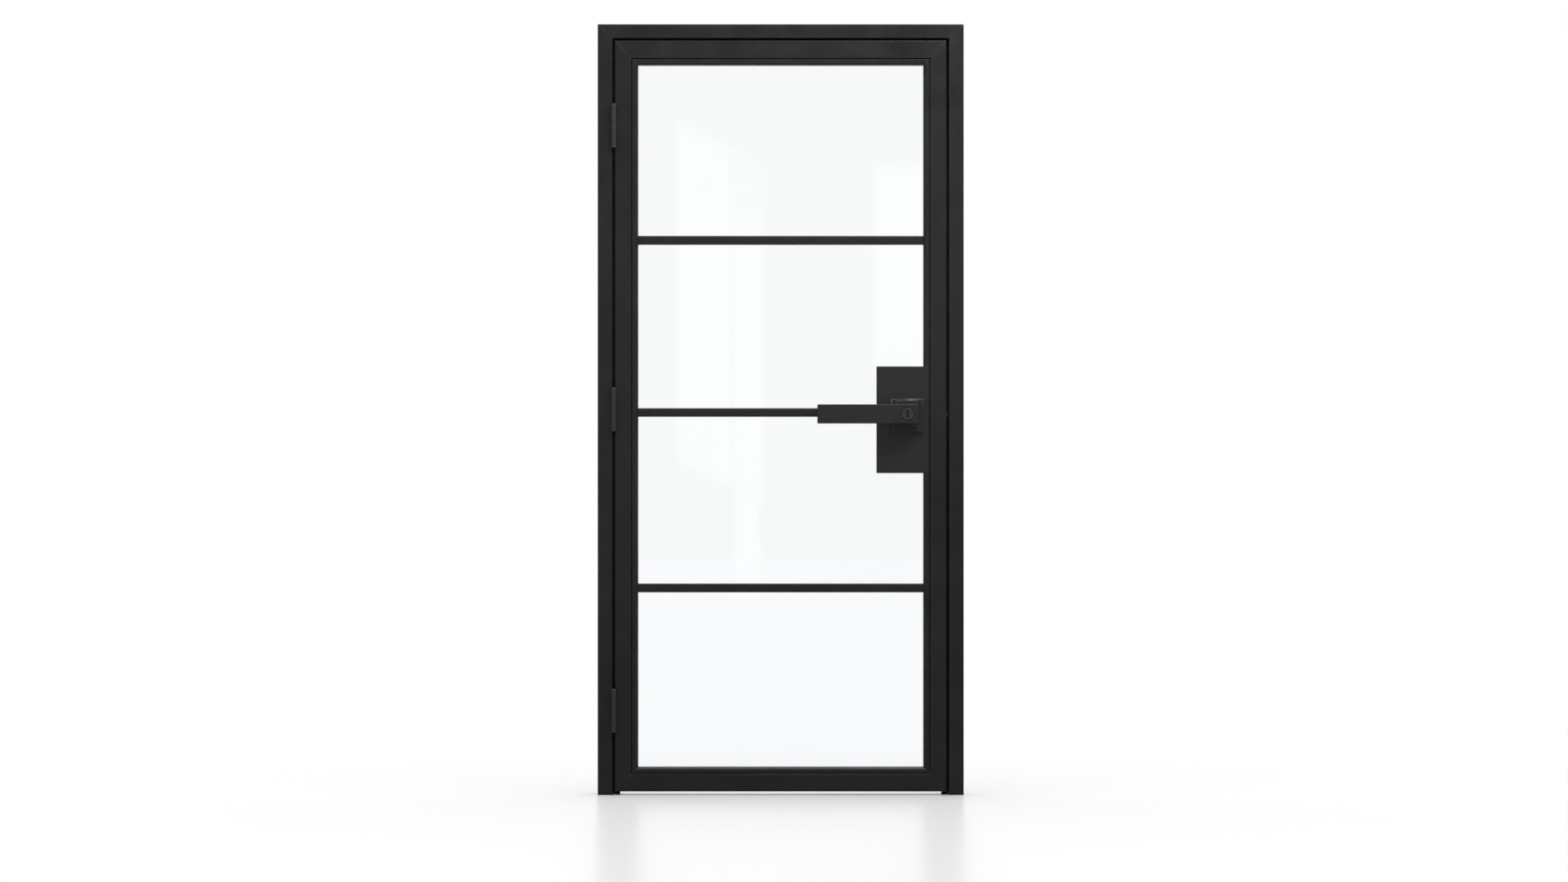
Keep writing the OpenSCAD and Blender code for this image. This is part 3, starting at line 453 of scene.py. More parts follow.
@dataclass(frozen=True)
class WorkedMetal:
    """Bare metal with drawn lines in it."""

    name: str
    dull: Colour
    bright: Colour
    roughness: Pair
    squeeze: Point = (1.0, 1.0, 0.05)
    lines: float = 1400.0
    line_depth: float = 0.03 * MM
    line_strength: float = 0.5

    def make(self) -> bpy.types.Material:
        """Builds the material.

        Returns:
            The finished material.
        """
        tree, shader, material = principled(self.name, Metallic=1.0)
        x, y, z = self.squeeze
        lines = Groups.place(tree, "streaks", Along_X=x, Along_Y=y, Along_Z=z, Scale=self.lines)
        tree.feed(shader.inputs["Base Color"], tree.blend(lines.outputs["Streak"], self.dull, self.bright))
        tree.feed(shader.inputs["Roughness"], tree.remap(lines.outputs["Streak"], 0.0, 1.0, *self.roughness))
        tree.emboss(shader, lines.outputs["Height"], self.line_depth, self.line_strength)
        return material


@dataclass(frozen=True)
class MattBlack:
    """Black rubber and acetal, and the near-black painted shade in recesses: matt, with a fine bloom on it."""

    name: str
    deep: Colour
    bloom: Colour
    roughness: Pair
    grain: float = 1600.0
    grain_depth: float = 0.03 * MM
    grain_strength: float = 0.5
    fine: float = 0.6
    drift: float = 5.0

    def make(self) -> bpy.types.Material:
        """Builds the material.

        Returns:
            The finished material.
        """
        tree, shader, material = principled(self.name, IOR=1.5)
        skin = Groups.place(tree, "grain", Scale=self.grain, Fine=self.fine, Drift_Scale=self.drift)
        tree.feed(shader.inputs["Base Color"], tree.blend(skin.outputs["Tone"], self.deep, self.bloom))
        tree.feed(shader.inputs["Roughness"], tree.remap(skin.outputs["Sheen"], 0.0, 1.0, *self.roughness))
        tree.emboss(shader, skin.outputs["Height"], self.grain_depth, self.grain_strength)
        return material


@dataclass(frozen=True)
class ClearGlass:
    """Clear float glass: nearly colourless across the sheet, with a hint of grey green."""

    name: str
    clean: Colour
    hazed: Colour
    ior: float = 1.5
    haze: float = 1.1
    let_through: Colour = (0.90, 0.92, 0.925)

    def make(self) -> bpy.types.Material:
        """Builds the material.

        Returns:
            The finished material.
        """
        tree, shader, material = principled(self.name, Roughness=0.0, IOR=self.ior, Transmission_Weight=1.0)
        skin = Groups.place(tree, "grain", Drift_Scale=self.haze)
        tree.feed(shader.inputs["Base Color"], tree.blend(skin.outputs["Tone"], self.clean, self.hazed))
        path = tree.add("LightPath")
        passing = tree.math("MAXIMUM", path.outputs["Is Shadow Ray"], path.outputs["Is Diffuse Ray"])
        open_way = tree.add("BsdfTransparent", Color=(*self.let_through, 1.0))
        tree.show(tree.mix(passing, shader, open_way))
        return material


class Finishes:
    """The door's finishes by slot, each built once."""

    def __init__(self) -> None:
        """Builds every finish."""
        recipes = {
            # Each coat's edge amount sets how much its edges are painted lighter, partly wear and partly painted
            # highlight
            Slot.PROFILE: PowderCoat("profile_coat", (0.0050, 0.0057, 0.0060), (0.0078, 0.0087, 0.0090),
                                     (0.30, 0.40)),
            Slot.LOCK: PowderCoat("lock_coat", (0.0090, 0.0100, 0.0105), (0.0125, 0.0136, 0.0140),
                                  (0.32, 0.42), grain=1100.0),
            Slot.LEVER: PowderCoat("lever_coat", (0.0095, 0.0105, 0.0107), (0.0130, 0.0141, 0.0143),
                                   (0.28, 0.38), grain=1300.0, grain_depth=0.03 * MM, edge_wear_and_highlight=0.45),
            Slot.HARDWARE: PowderCoat("hinge_coat", (0.0235, 0.0249, 0.0256), (0.0305, 0.0322, 0.0329),
                                      (0.26, 0.36), grain=1300.0, grain_depth=0.03 * MM, edge_wear_and_highlight=0.2),
            Slot.CYLINDER: PowderCoat("cylinder_coat", (0.0200, 0.0200, 0.0195), (0.0270, 0.0270, 0.0262),
                                      (0.26, 0.36), grain=1600.0, grain_depth=0.02 * MM),
            Slot.STEEL: WorkedMetal("zinc_plated_steel", (0.42, 0.43, 0.44), (0.62, 0.63, 0.64),
                                    (0.26, 0.42)),
            Slot.BEARING: MattBlack("black_acetal", (0.0020, 0.0020, 0.0020), (0.0038, 0.0038, 0.0038),
                                    (0.62, 0.76)),
            Slot.CLEAT: WorkedMetal("mill_aluminium", (0.50, 0.51, 0.52), (0.70, 0.71, 0.72), (0.34, 0.5)),
            Slot.RUBBER: MattBlack("black_rubber", (0.0030, 0.0030, 0.0030), (0.0065, 0.0065, 0.0065),
                                   (0.72, 0.88)),
            Slot.GLASS: ClearGlass("clear_glass", (0.975, 0.985, 0.99), (0.955, 0.968, 0.978)),
        }
        self.by_slot = {slot: recipe.make() for slot, recipe in recipes.items()}
        # A near-black matt finish that paints the shade in the cylinder's groove and keyhole
        self.recess = MattBlack("painted_shade_in_recess", (0.0015, 0.0015, 0.0015), (0.0030, 0.0030, 0.0030),
                                (0.75, 0.9)).make()

    def dress(self, piece: bpy.types.Object, slot: Slot) -> None:
        """Gives a piece one finish all over.

        Args:
            piece: The piece.
            slot: The finish.
        """
        piece.data.materials.clear()
        piece.data.materials.append(self.by_slot[slot])


# ---------------------------------------------------------------- bench work


BODY_OF = {node: body for body, nodes in frame["record"]["behaviour"]["bodies"].items() for node in nodes}
JOINT_AT = {joint["name"]: Vector(joint.get("pos_m", (0.0, 0.0, 0.0))) for joint in frame["joints"]}
# Edges shallower than this are shaded smooth
SMOOTH_ANGLE = math.radians(50.0)
# Edges steeper than this are rounded
SHARP_ANGLE = math.radians(28.0)
# Faces that meet at less than this are one face
FLAT_ANGLE = math.radians(0.5)
# How much more a large face counts than a small one in the shading at their edge
FACE_WEIGHT = 60


def deselect_all() -> None:
    """Leaves object mode with nothing selected."""
    if bpy.context.object and bpy.context.object.mode != "OBJECT":
        bpy.ops.object.mode_set(mode="OBJECT")
    for thing in bpy.context.selected_objects:
        thing.select_set(False)


def take(piece: bpy.types.Object) -> None:
    """Makes a piece the only selected one, and the active one.

    Args:
        piece: The piece that the next operators work on.
    """
    deselect_all()
    piece.select_set(True)
    bpy.context.view_layer.objects.active = piece


def edit(piece: bpy.types.Object, select: str = "SELECT") -> None:
    """Opens a piece in edit mode with everything or nothing selected.

    Args:
        piece: The piece to open.
        select: SELECT for everything or DESELECT for nothing.
    """
    take(piece)
    bpy.ops.object.mode_set(mode="EDIT")
    bpy.ops.mesh.select_all(action=select)


def close_edit() -> None:
    """Goes back to object mode."""
    bpy.ops.object.mode_set(mode="OBJECT")


def apply_modifier(piece: bpy.types.Object, kind: str, **settings: object) -> None:
    """Adds a modifier to a piece, sets it and applies it.

    Args:
        piece: The piece.
        kind: The modifier's type.
        settings: The modifier's own properties and their values.
    """
    take(piece)
    modifier = piece.modifiers.new(kind.lower(), kind)
    for name, value in settings.items():
        setattr(modifier, name, value)
    bpy.ops.object.modifier_apply(modifier=modifier.name)


def settle(piece: bpy.types.Object) -> None:
    """Puts a piece's place into its mesh, so that its object lies at the origin."""
    piece.data.transform(piece.matrix_world)
    piece.matrix_world = Matrix.Identity(4)


def smooth(piece: bpy.types.Object) -> None:
    """Smooths the shading of a piece across its shallow edges and keeps its large faces flat.

    Args:
        piece: The piece.
    """
    take(piece)
    bpy.ops.object.shade_smooth_by_angle(angle=SMOOTH_ANGLE)
    apply_modifier(piece, "WEIGHTED_NORMAL", keep_sharp=True, weight=FACE_WEIGHT)


def round_edges(piece: bpy.types.Object, radius: float, least: float = 0.0, segments: int = 2) -> None:
    """Rounds the sharp edges of a piece.

    Args:
        piece: A closed mesh.
        radius: How far back from the edge the rounding reaches.
        least: The length under which an edge stays sharp, which leaves the rims of small holes alone.
        segments: The facets across the rounding.
    """
    mesh = bmesh.new()
    mesh.from_mesh(piece.data)
    layers = mesh.edges.layers.float
    weight = layers.get("bevel_weight_edge") or layers.new("bevel_weight_edge")
    for line in mesh.edges:
        sharp = line.is_manifold and line.calc_face_angle(0.0) > SHARP_ANGLE
        line[weight] = 1.0 if sharp and line.calc_length() >= least else 0.0
    mesh.to_mesh(piece.data)
    mesh.free()
    apply_modifier(piece, "BEVEL", width=radius, segments=segments, limit_method="WEIGHT",
                   use_clamp_overlap=True, miter_outer="MITER_ARC" if segments > 2 else "MITER_SHARP")


def islands(node: str) -> list[Box]:
    """The boxes of a CAD node's separate solids, from the lowest up.

    Args:
        node: The CAD node.

    Returns:
        The low and high corner of each solid.
    """
    mesh = bmesh.new()
    mesh.from_mesh(frame["nodes"][node].data)
    bmesh.ops.remove_doubles(mesh, verts=mesh.verts, dist=WELD)
    left = set(mesh.verts)
    found: list[Box] = []
    while left:
        stack = [left.pop()]
        group = list(stack)
        while stack:
            for line in stack.pop().link_edges:
                for corner in line.verts:
                    if corner in left:
                        left.discard(corner)
                        stack.append(corner)
                        group.append(corner)
        low = Vector(tuple(min(v.co[i] for v in group) for i in range(3)))
        high = Vector(tuple(max(v.co[i] for v in group) for i in range(3)))
        found.append((low, high))
    mesh.free()
    return sorted(found, key=lambda box: (round(box[0].z, 4), round(box[0].y, 4), round(box[0].x, 4)))


class Bench:
    """Finishes pieces: fits them to their bodies, stands them in for their nodes and dresses them."""

    def __init__(self, finishes: Finishes) -> None:
        """Keeps the finishes and starts an empty tally."""
        self.finishes = finishes
        self.count = 0

    def fit(self, piece: bpy.types.Object, slot: Slot, *nodes: str) -> bpy.types.Object:
        """Dresses a piece, makes it ride with its nodes' body and stand for those nodes.

        Args:
            piece: A finished mesh at the origin.
            slot: The finish.
            nodes: The CAD nodes that the piece stands for. The first one's body carries it.

        Returns:
            The piece.
        """
        self.finishes.dress(piece, slot)
        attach(piece, BODY_OF[nodes[0]])
        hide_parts(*nodes)
        self.count += 1
        log.info("made %s for %s", piece.name, ", ".join(nodes))
        return piece

    def soften(self, node: str, slot: Slot, radius: float, least: float = 0.0,
               segments: int = 2) -> bpy.types.Object:
        """Makes a soft-edged twin of a CAD node and stands it in for the node.

        Args:
            node: The CAD node.
            slot: The finish.
            radius: How far the rounding reaches from each sharp edge.
            least: Edges shorter than this stay sharp.
            segments: The facets across the rounding.

        Returns:
            The twin.
        """
        source = frame["nodes"][node]
        twin = source.copy()
        twin.data = source.data.copy()
        twin.name = f"{node}_finished"
        twin.parent = None
        twin.matrix_world = Matrix.Identity(4)
        bpy.context.scene.collection.objects.link(twin)
        take(twin)
        bpy.ops.mesh.customdata_custom_splitnormals_clear()
        edit(twin)
        bpy.ops.mesh.remove_doubles(threshold=WELD)
        bpy.ops.mesh.dissolve_limited(angle_limit=FLAT_ANGLE)
        close_edit()
        round_edges(twin, radius, least, segments)
        if segments > 1:
            smooth(twin)
        else:
            bpy.ops.object.shade_flat()
        return self.fit(twin, slot, node)


def join(pieces: list[bpy.types.Object], name: str) -> bpy.types.Object:
    """Joins pieces into one object and names it.

    Args:
        pieces: The pieces, which the joined one takes in.
        name: The joined piece's name.

    Returns:
        The joined piece.
    """
    deselect_all()
    for piece in pieces:
        piece.select_set(True)
    bpy.context.view_layer.objects.active = pieces[0]
    if len(pieces) > 1:
        bpy.ops.object.join()
    joined = bpy.context.view_layer.objects.active
    joined.name = name
    return joined


def lathe(name: str, outline: list[Pair], steps: int = 48) -> bpy.types.Object:
    """Turns an outline about Z into a closed solid, as on a lathe.

    Args:
        name: The piece's name.
        outline: Points (radius, height) from one end of the axis to the other.
        steps: The facets round the piece.

    Returns:
        The turned piece, on the origin.
    """
    deselect_all()
    bpy.ops.mesh.primitive_plane_add(size=MM)
    piece = bpy.context.object
    piece.name = name
    mesh = bmesh.new()
    start = mesh.verts.new((outline[0][0], 0.0, outline[0][1]))
    start.select = True
    mesh.to_mesh(piece.data)
    mesh.free()
    edit(piece)
    bpy.ops.mesh.select_mode(type="VERT")
    bpy.ops.mesh.select_all(action="SELECT")
    for (r0, z0), (r1, z1) in zip(outline, outline[1:]):
        bpy.ops.mesh.extrude_region_move(TRANSFORM_OT_translate={"value": (r1 - r0, 0.0, z1 - z0)})
    bpy.ops.mesh.select_all(action="SELECT")
    bpy.ops.mesh.spin(steps=steps, angle=math.tau, center=(0.0, 0.0, 0.0), axis=(0.0, 0.0, 1.0))
    bpy.ops.mesh.select_all(action="SELECT")
    bpy.ops.mesh.remove_doubles(threshold=WELD)
    bpy.ops.mesh.normals_make_consistent(inside=False)
    close_edit()
    return piece


def copy_to(piece: bpy.types.Object, place: Matrix) -> bpy.types.Object:
    """Copies a piece with its own mesh and puts the copy's place into that mesh.

    Args:
        piece: The piece to copy, on the origin.
        place: Where the copy goes.

    Returns:
        The copy.
    """
    twin = piece.copy()
    twin.data = piece.data.copy()
    twin.data.transform(place)
    bpy.context.scene.collection.objects.link(twin)
    return twin


def remove(piece: bpy.types.Object) -> None:
    """Deletes a pattern piece once its copies are made."""
    bpy.data.objects.remove(piece, do_unlink=True)


# ---------------------------------------------------------------- fittings


@dataclass
class Screw:
    """A machine screw with a countersunk or a flat head, standing on its tip with the head up."""

    head_r: float = 4.5 * MM
    shank_r: float = 2.5 * MM
    head_t: float = 2.0 * MM
    length: float = 12.0 * MM
    drive: Drive = Drive.STAR
    recess_r: float = 2.1 * MM
    recess_t: float = 1.4 * MM
    tapered: bool = True
    facets: int = 24
    pitch: float = 0.8 * MM
    thread_t: float = 0.3 * MM
    tip_t: float = 0.5 * MM
    bare_t: float = 1.5 * MM
    edge: float = 0.25 * MM
    tip_share: float = 0.6
    crest_share: float = 0.45
    root_share: float = 0.9
    lobes: int = 6
    lobe_gap: float = 8.0
    lobe_draw: float = 0.76

    def outline(self) -> list[Pair]:
        """The turned outline from the tip up to the recess's rim, with its threads as rings.

        Returns:
            Points (radius, height), with the head's face at 0.
        """
        root = self.shank_r - self.thread_t
        start = self.tip_t - self.length
        points = [(0.0, -self.length), (root * self.tip_share, -self.length), (root, start)]
        turns = int((self.length - self.head_t - self.bare_t) / self.pitch)
        for i in range(turns):
            z = self.pitch * i + start
            points += [(self.shank_r, z + self.pitch * self.crest_share),
                       (root, z + self.pitch * self.root_share)]
        if self.tapered:
            points += [(self.shank_r, -self.head_t)]
        else:
            points += [(self.shank_r, -self.head_t - self.thread_t), (self.shank_r, -self.head_t),
                       (self.head_r, -self.head_t)]
        points += [(self.head_r, -self.edge), (self.head_r - self.edge, 0.0), (self.recess_r, 0.0)]
        return points

    def make(self, name: str) -> bpy.types.Object:
        """Turns the screw and cuts the recess for its driver.

        Args:
            name: The screw's name.

        Returns:
            The screw, with the middle of its head's face on the origin.
        """
        piece = lathe(name, self.outline(), self.facets)
        edit(piece, "DESELECT")
        bpy.ops.mesh.select_mode(type="EDGE")
        mesh = bmesh.from_edit_mesh(piece.data)
        for line in mesh.edges:
            line.select = line.is_boundary
        bmesh.update_edit_mesh(piece.data)
        bpy.ops.mesh.extrude_region_move(TRANSFORM_OT_translate={"value": (0.0, 0.0, -self.recess_t)})
        bpy.ops.mesh.edge_face_add()
        self.shape_recess(piece)
        bpy.ops.mesh.select_all(action="SELECT")
        bpy.ops.mesh.normals_make_consistent(inside=False)
        close_edit()
        smooth(piece)
        return piece

    def shape_recess(self, piece: bpy.types.Object) -> None:
        """Draws the recess's rim in between the lobes of a star or the corners of a hexagon.

        Args:
            piece: The screw, open in edit mode.
        """
        mesh = bmesh.from_edit_mesh(piece.data)
        sector = 360.0 / self.lobes
        for corner in mesh.verts:
            radius = math.hypot(corner.co.x, corner.co.y)
            if corner.co.z < -self.recess_t - WELD or abs(radius - self.recess_r) > 10 * WELD:
                continue
            turn = math.degrees(math.atan2(corner.co.y, corner.co.x)) % sector
            off = abs(turn - sector / 2)
            if self.drive is Drive.HEX:
                draw = math.cos(math.radians(sector / 2)) / math.cos(math.radians(off))
            else:
                draw = self.lobe_draw if off < self.lobe_gap else 1.0
            corner.co.x *= draw
            corner.co.y *= draw
        bmesh.update_edit_mesh(piece.data)

    def drive_in(self, bench: Bench, node: str, heading: Heading,
                 slot: Slot = Slot.STEEL) -> bpy.types.Object:
        """Puts one screw in place of each solid of a node.

        Args:
            bench: The bench that fits the pieces.
            node: The CAD node of the screws.
            heading: The way their heads face.
            slot: The finish.

        Returns:
            All the node's screws, joined.
        """
        pattern = self.make(f"{node}_pattern")
        copies = []
        for low, high in islands(node):
            middle = (low + high) / 2
            reach = Vector(heading.value)
            face = middle + reach * (abs(reach.dot(high - low)) / 2)
            copies.append(copy_to(pattern, Matrix.Translation(face) @ heading.turn()))
        remove(pattern)
        return bench.fit(join(copies, f"{node}_finished"), slot, node)


@dataclass
class Spring:
    """A coil spring of round wire about Z, from Z = 0 up."""

    radius: float
    wire: float
    length: float
    turns: float
    wire_facets: int = 10
    turn_facets: int = 24

    def make(self, name: str) -> bpy.types.Object:
        """Winds the spring: the wire's section is screwed round the axis.

        Args:
            name: The spring's name.

        Returns:
            The spring, on the origin.
        """
        deselect_all()
        bpy.ops.mesh.primitive_circle_add(vertices=self.wire_facets, radius=self.wire / 2, fill_type="NGON",
                                          location=(self.radius, 0.0, self.wire / 2),
                                          rotation=(math.pi / 2, 0.0, 0.0))
        piece = bpy.context.object
        piece.name = name
        settle(piece)
        steps = round(self.turn_facets * self.turns)
        apply_modifier(piece, "SCREW", angle=math.tau * self.turns, steps=steps, render_steps=steps,
                       screw_offset=self.length - self.wire, axis="Z")
        edit(piece)
        bpy.ops.mesh.remove_doubles(threshold=WELD)
        bpy.ops.mesh.normals_make_consistent(inside=False)
        close_edit()
        smooth(piece)
        return piece


# ---------------------------------------------------------------- sub-assemblies


@dataclass
class DoorFrame:
    """The frame that is fixed in the wall: two jambs, the head, their cleats, the seals and the strike."""

    edge: float = 0.8 * MM
    seal_edge: float = 0.2 * MM
    cleat_edge: float = 0.4 * MM
    plate_edge: float = 0.3 * MM
    box_edge: float = 0.2 * MM
    least: float = 14.0 * MM
    plate_least: float = 2.5 * MM
    profiles: tuple[str, ...] = ("jamb_hinge_side", "jamb_latch_side", "head")
    seals: tuple[str, ...] = ("seal_hinge_side", "seal_latch_side", "seal_head")

    def build(self, bench: Bench) -> None:
        """Makes the frame's pieces.

        Args:
            bench: The bench that fits the pieces.
        """
        for node in self.profiles:
            bench.soften(node, Slot.PROFILE, self.edge, self.least)
        for node in self.seals:
            bench.soften(node, Slot.RUBBER, self.seal_edge, self.least)
        bench.soften("frame_corner_cleats", Slot.CLEAT, self.cleat_edge)
        bench.soften("strike_plate", Slot.HARDWARE, self.plate_edge, self.plate_least)
        bench.soften("strike_box", Slot.STEEL, self.box_edge)
        Screw().drive_in(bench, "strike_screws", Heading.LEFT)


@dataclass
class LeafFrame:
    """The leaf's stiles and rails with their cleats, the glazing beads and the glazing bars."""

    edge: float = 0.8 * MM
    bead_edge: float = 0.4 * MM
    bar_edge: float = 0.5 * MM
    cleat_edge: float = 0.4 * MM
    least: float = 14.0 * MM
    members: tuple[str, ...] = ("stile_hinge_side", "stile_latch_side", "rail_top", "rail_bottom")
    beads: tuple[str, ...] = ("bead_hinge_side", "bead_top", "bead_bottom", "bead_latch_upper",
                              "bead_latch_lower")

    def build(self, bench: Bench) -> None:
        """Makes the leaf's pieces.

        Args:
            bench: The bench that fits the pieces.
        """
        for node in self.members:
            bench.soften(node, Slot.PROFILE, self.edge, self.least)
        for node in self.beads:
            bench.soften(node, Slot.PROFILE, self.bead_edge)
        for side in ("front", "back"):
            for level in ("low", "mid", "high"):
                bench.soften(f"bar_{side}_{level}", Slot.PROFILE, self.bar_edge)
        bench.soften("leaf_corner_cleats", Slot.CLEAT, self.cleat_edge)


@dataclass
class Glazing:
    """The sheet of glass with its gaskets and setting blocks."""

    arris: float = 0.8 * MM
    gasket_edge: float = 0.4 * MM
    gasket_least: float = 3.0 * MM
    block_edge: float = 0.5 * MM

    def build(self, bench: Bench) -> None:
        """Makes the glazing.

        Args:
            bench: The bench that fits the pieces.
        """
        bench.soften("glass_pane", Slot.GLASS, self.arris, segments=1)
        for node in ("gasket_front", "gasket_back"):
            bench.soften(node, Slot.RUBBER, self.gasket_edge, self.gasket_least)
        bench.soften("setting_blocks", Slot.RUBBER, self.block_edge)


@dataclass
class Hinges:
    """Three butt hinges: their leaves, turned pins with domed caps, washers and screws."""

    edge: float = 0.5 * MM
    least: float = 0.6 * MM
    pin_r: float = 3.5 * MM
    cap_r: float = 6.5 * MM
    cap_h: float = 5.0 * MM
    cap_dome: float = 2.0 * MM
    cap_rim: float = 0.3 * MM
    washer_r: float = 5.4 * MM
    washer_gap: float = 0.05 * MM
    washer_edge: float = 0.15 * MM
    levels: tuple[str, ...] = ("top", "mid", "low")

    def pin_outline(self, half: float) -> list[Pair]:
        """Half of the pin's outline, from the tip of its domed cap down to the top of its shaft.

        Args:
            half: Half the height of the hinge's leaves.

        Returns:
            Points (radius, height), with the middle of the pin at 0.
        """
        dome, rim = self.cap_dome, self.cap_rim
        top = half + self.cap_h
        arc = [math.radians(a) for a in (0, 22, 45, 67, 90)]
        crown = [(self.cap_r - dome + dome * math.sin(a), top - dome + dome * math.cos(a)) for a in arc]
        return [(0.0, top), *crown, (self.cap_r, half + rim), (self.cap_r - rim, half), (self.pin_r, half)]

    def build_pins(self, bench: Bench) -> None:
        """Turns the three pins.

        Args:
            bench: The bench that fits the pieces.
        """
        axis = JOINT_AT["door_swing"]
        pins = []
        for level in self.levels:
            low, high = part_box(f"hinge_{level}_frame_leaf")
            half = (high.z - low.z) / 2
            upper = self.pin_outline(half)
            lower = [(r, -z) for r, z in reversed(upper)]
            pin = lathe(f"hinge_pin_{level}", upper + lower)
            pin.data.transform(Matrix.Translation((axis.x, axis.y, (low.z + high.z) / 2)))
            smooth(pin)
            pins.append(pin)
        bench.fit(join(pins, "hinge_pins_finished"), Slot.HARDWARE, "hinge_pins")

    def build_washers(self, bench: Bench) -> None:
        """Turns the washers between the knuckles.

        Args:
            bench: The bench that fits the pieces.
        """
        axis = JOINT_AT["door_swing"]
        bore, rim, edge = self.pin_r + self.washer_gap, self.washer_r, self.washer_edge
        washers = []
        for low, high in islands("hinge_washers"):
            t = high.z - low.z
            loop = [(bore, edge), (bore + edge, 0.0), (rim - edge, 0.0), (rim, edge), (rim, t - edge),
                    (rim - edge, t), (bore + edge, t), (bore, t - edge), (bore, edge)]
            washer = lathe("hinge_washer", loop)
            washer.data.transform(Matrix.Translation((axis.x, axis.y, low.z)))
            smooth(washer)
            washers.append(washer)
        bench.fit(join(washers, "hinge_washers_finished"), Slot.BEARING, "hinge_washers")

    def build(self, bench: Bench) -> None:
        """Makes the hinges' pieces.

        Args:
            bench: The bench that fits the pieces.
        """
        for level in self.levels:
            for side in ("frame", "door"):
                bench.soften(f"hinge_{level}_{side}_leaf", Slot.HARDWARE, self.edge, self.least)
        self.build_pins(bench)
        self.build_washers(bench)
        Screw().drive_in(bench, "hinge_frame_screws", Heading.RIGHT)
        Screw().drive_in(bench, "hinge_door_screws", Heading.LEFT)


@dataclass
class LockCase:
    """The lock case in its notch in the glass, its plates and the rosettes clamped on them."""

    edge: float = 0.5 * MM
    least: float = 6.0 * MM
    plate_edge: float = 0.3 * MM
    rosette_edge: float = 0.25 * MM
    plate_least: float = 3.0 * MM
    spring_r: float = 18.5 * MM
    spring_wire: float = 1.6 * MM
    spring_turns: float = 2.5

    def build_springs(self, bench: Bench) -> None:
        """Winds a return spring for each rosette.

        Args:
            bench: The bench that fits the pieces.
        """
        coils = []
        for low, high in islands("return_springs"):
            front = high.y < 0.0
            coil = Spring(self.spring_r, self.spring_wire, high.y - low.y, self.spring_turns)
            spring = coil.make("return_spring")
            axis = JOINT_AT["lever_turn"]
            foot = Vector((axis.x, high.y if front else low.y, axis.z))
            turn = Heading.FRONT.turn() if front else Heading.BACK.turn()
            spring.data.transform(Matrix.Translation(foot) @ turn)
            coils.append(spring)
        bench.fit(join(coils, "return_springs_finished"), Slot.STEEL, "return_springs")

    def build_bolts(self, bench: Bench) -> None:
        """Makes the two socket bolts that clamp the rosettes from behind.

        Args:
            bench: The bench that fits the pieces.
        """
        low, high = islands("rosette_bolts")[0]
        Screw(head_r=4.5 * MM, head_t=3.5 * MM, length=high.y - low.y, drive=Drive.HEX, recess_r=2.4 * MM,
              recess_t=2.2 * MM, tapered=False).drive_in(bench, "rosette_bolts", Heading.BACK)

    def build(self, bench: Bench) -> None:
        """Makes the lock's fixed pieces.

        Args:
            bench: The bench that fits the pieces.
        """
        bench.soften("lock_case", Slot.LOCK, self.edge, self.least)
        for node in ("lock_plate_front", "lock_plate_back"):
            bench.soften(node, Slot.LOCK, self.plate_edge, self.plate_least)
        for node in ("rosette_front", "rosette_back"):
            bench.soften(node, Slot.LEVER, self.rosette_edge, self.plate_least)
        low, high = islands("lock_plate_screws")[0]
        Screw(length=high.y - low.y).drive_in(bench, "lock_plate_screws", Heading.BACK)
        self.build_bolts(bench)
        self.build_springs(bench)


@dataclass
class Levers:
    """Both levers with the spindle, the follower and the grub screws."""

    edge: float = 0.5 * MM
    least: float = 0.35 * MM
    spindle_edge: float = 0.6 * MM
    follower_edge: float = 0.3 * MM
    follower_least: float = 2.0 * MM

    def build(self, bench: Bench) -> None:
        """Makes the pieces that turn with the levers.

        Args:
            bench: The bench that fits the pieces.
        """
        for node in ("lever_front", "lever_back"):
            bench.soften(node, Slot.LEVER, self.edge, self.least, segments=3)
        bench.soften("spindle", Slot.STEEL, self.spindle_edge)
        bench.soften("follower", Slot.STEEL, self.follower_edge, self.follower_least)
        low, high = islands("lever_grub_screws")[0]
        Screw(head_r=2.5 * MM, head_t=0.6 * MM, length=high.z - low.z, drive=Drive.HEX, recess_r=1.5 * MM,
              recess_t=2.0 * MM, tapered=False).drive_in(bench, "lever_grub_screws", Heading.DOWN)


@dataclass
class KeyCylinder:
    """The cylinder in the front lever and the plug that the key turns."""

    edge: float = 0.25 * MM
    least: float = 0.3 * MM
    sunk: float = 0.6 * MM
    groove: Pair = (15.9 * MM, 19.1 * MM)
    keyhole: Pair = (-1.0 * MM, 13.4 * MM)

    def paint_recess_shade(self, bench: Bench, piece: bpy.types.Object, reach: Pair) -> None:
        """Paints shade, as a near-black matt finish, on the sunk faces of a front face's recesses.

        Args:
            bench: The bench that holds the finishes.
            piece: The cylinder or the plug.
            reach: The radii between which the sunk faces are darkened.
        """
        axis = JOINT_AT["lever_turn"]
        face_y = min(corner.co.y for corner in piece.data.vertices)
        piece.data.materials.append(bench.finishes.recess)
        off = [math.hypot(corner.co.x - axis.x, corner.co.z - axis.z) for corner in piece.data.vertices]
        for face in piece.data.polygons:
            radii = [off[corner] for corner in face.vertices]
            if face.center.y > face_y + self.sunk and reach[0] < min(radii) and max(radii) < reach[1]:
                face.material_index = 1

    def build(self, bench: Bench) -> None:
        """Makes the cylinder and its plug.

        Args:
            bench: The bench that fits the pieces.
        """
        # The groove round the plug and the keyhole get painted shade on their sunk faces
        for node, reach in (("key_cylinder", self.groove), ("key_plug", self.keyhole)):
            piece = bench.soften(node, Slot.CYLINDER, self.edge, self.least)
            self.paint_recess_shade(bench, piece, reach)


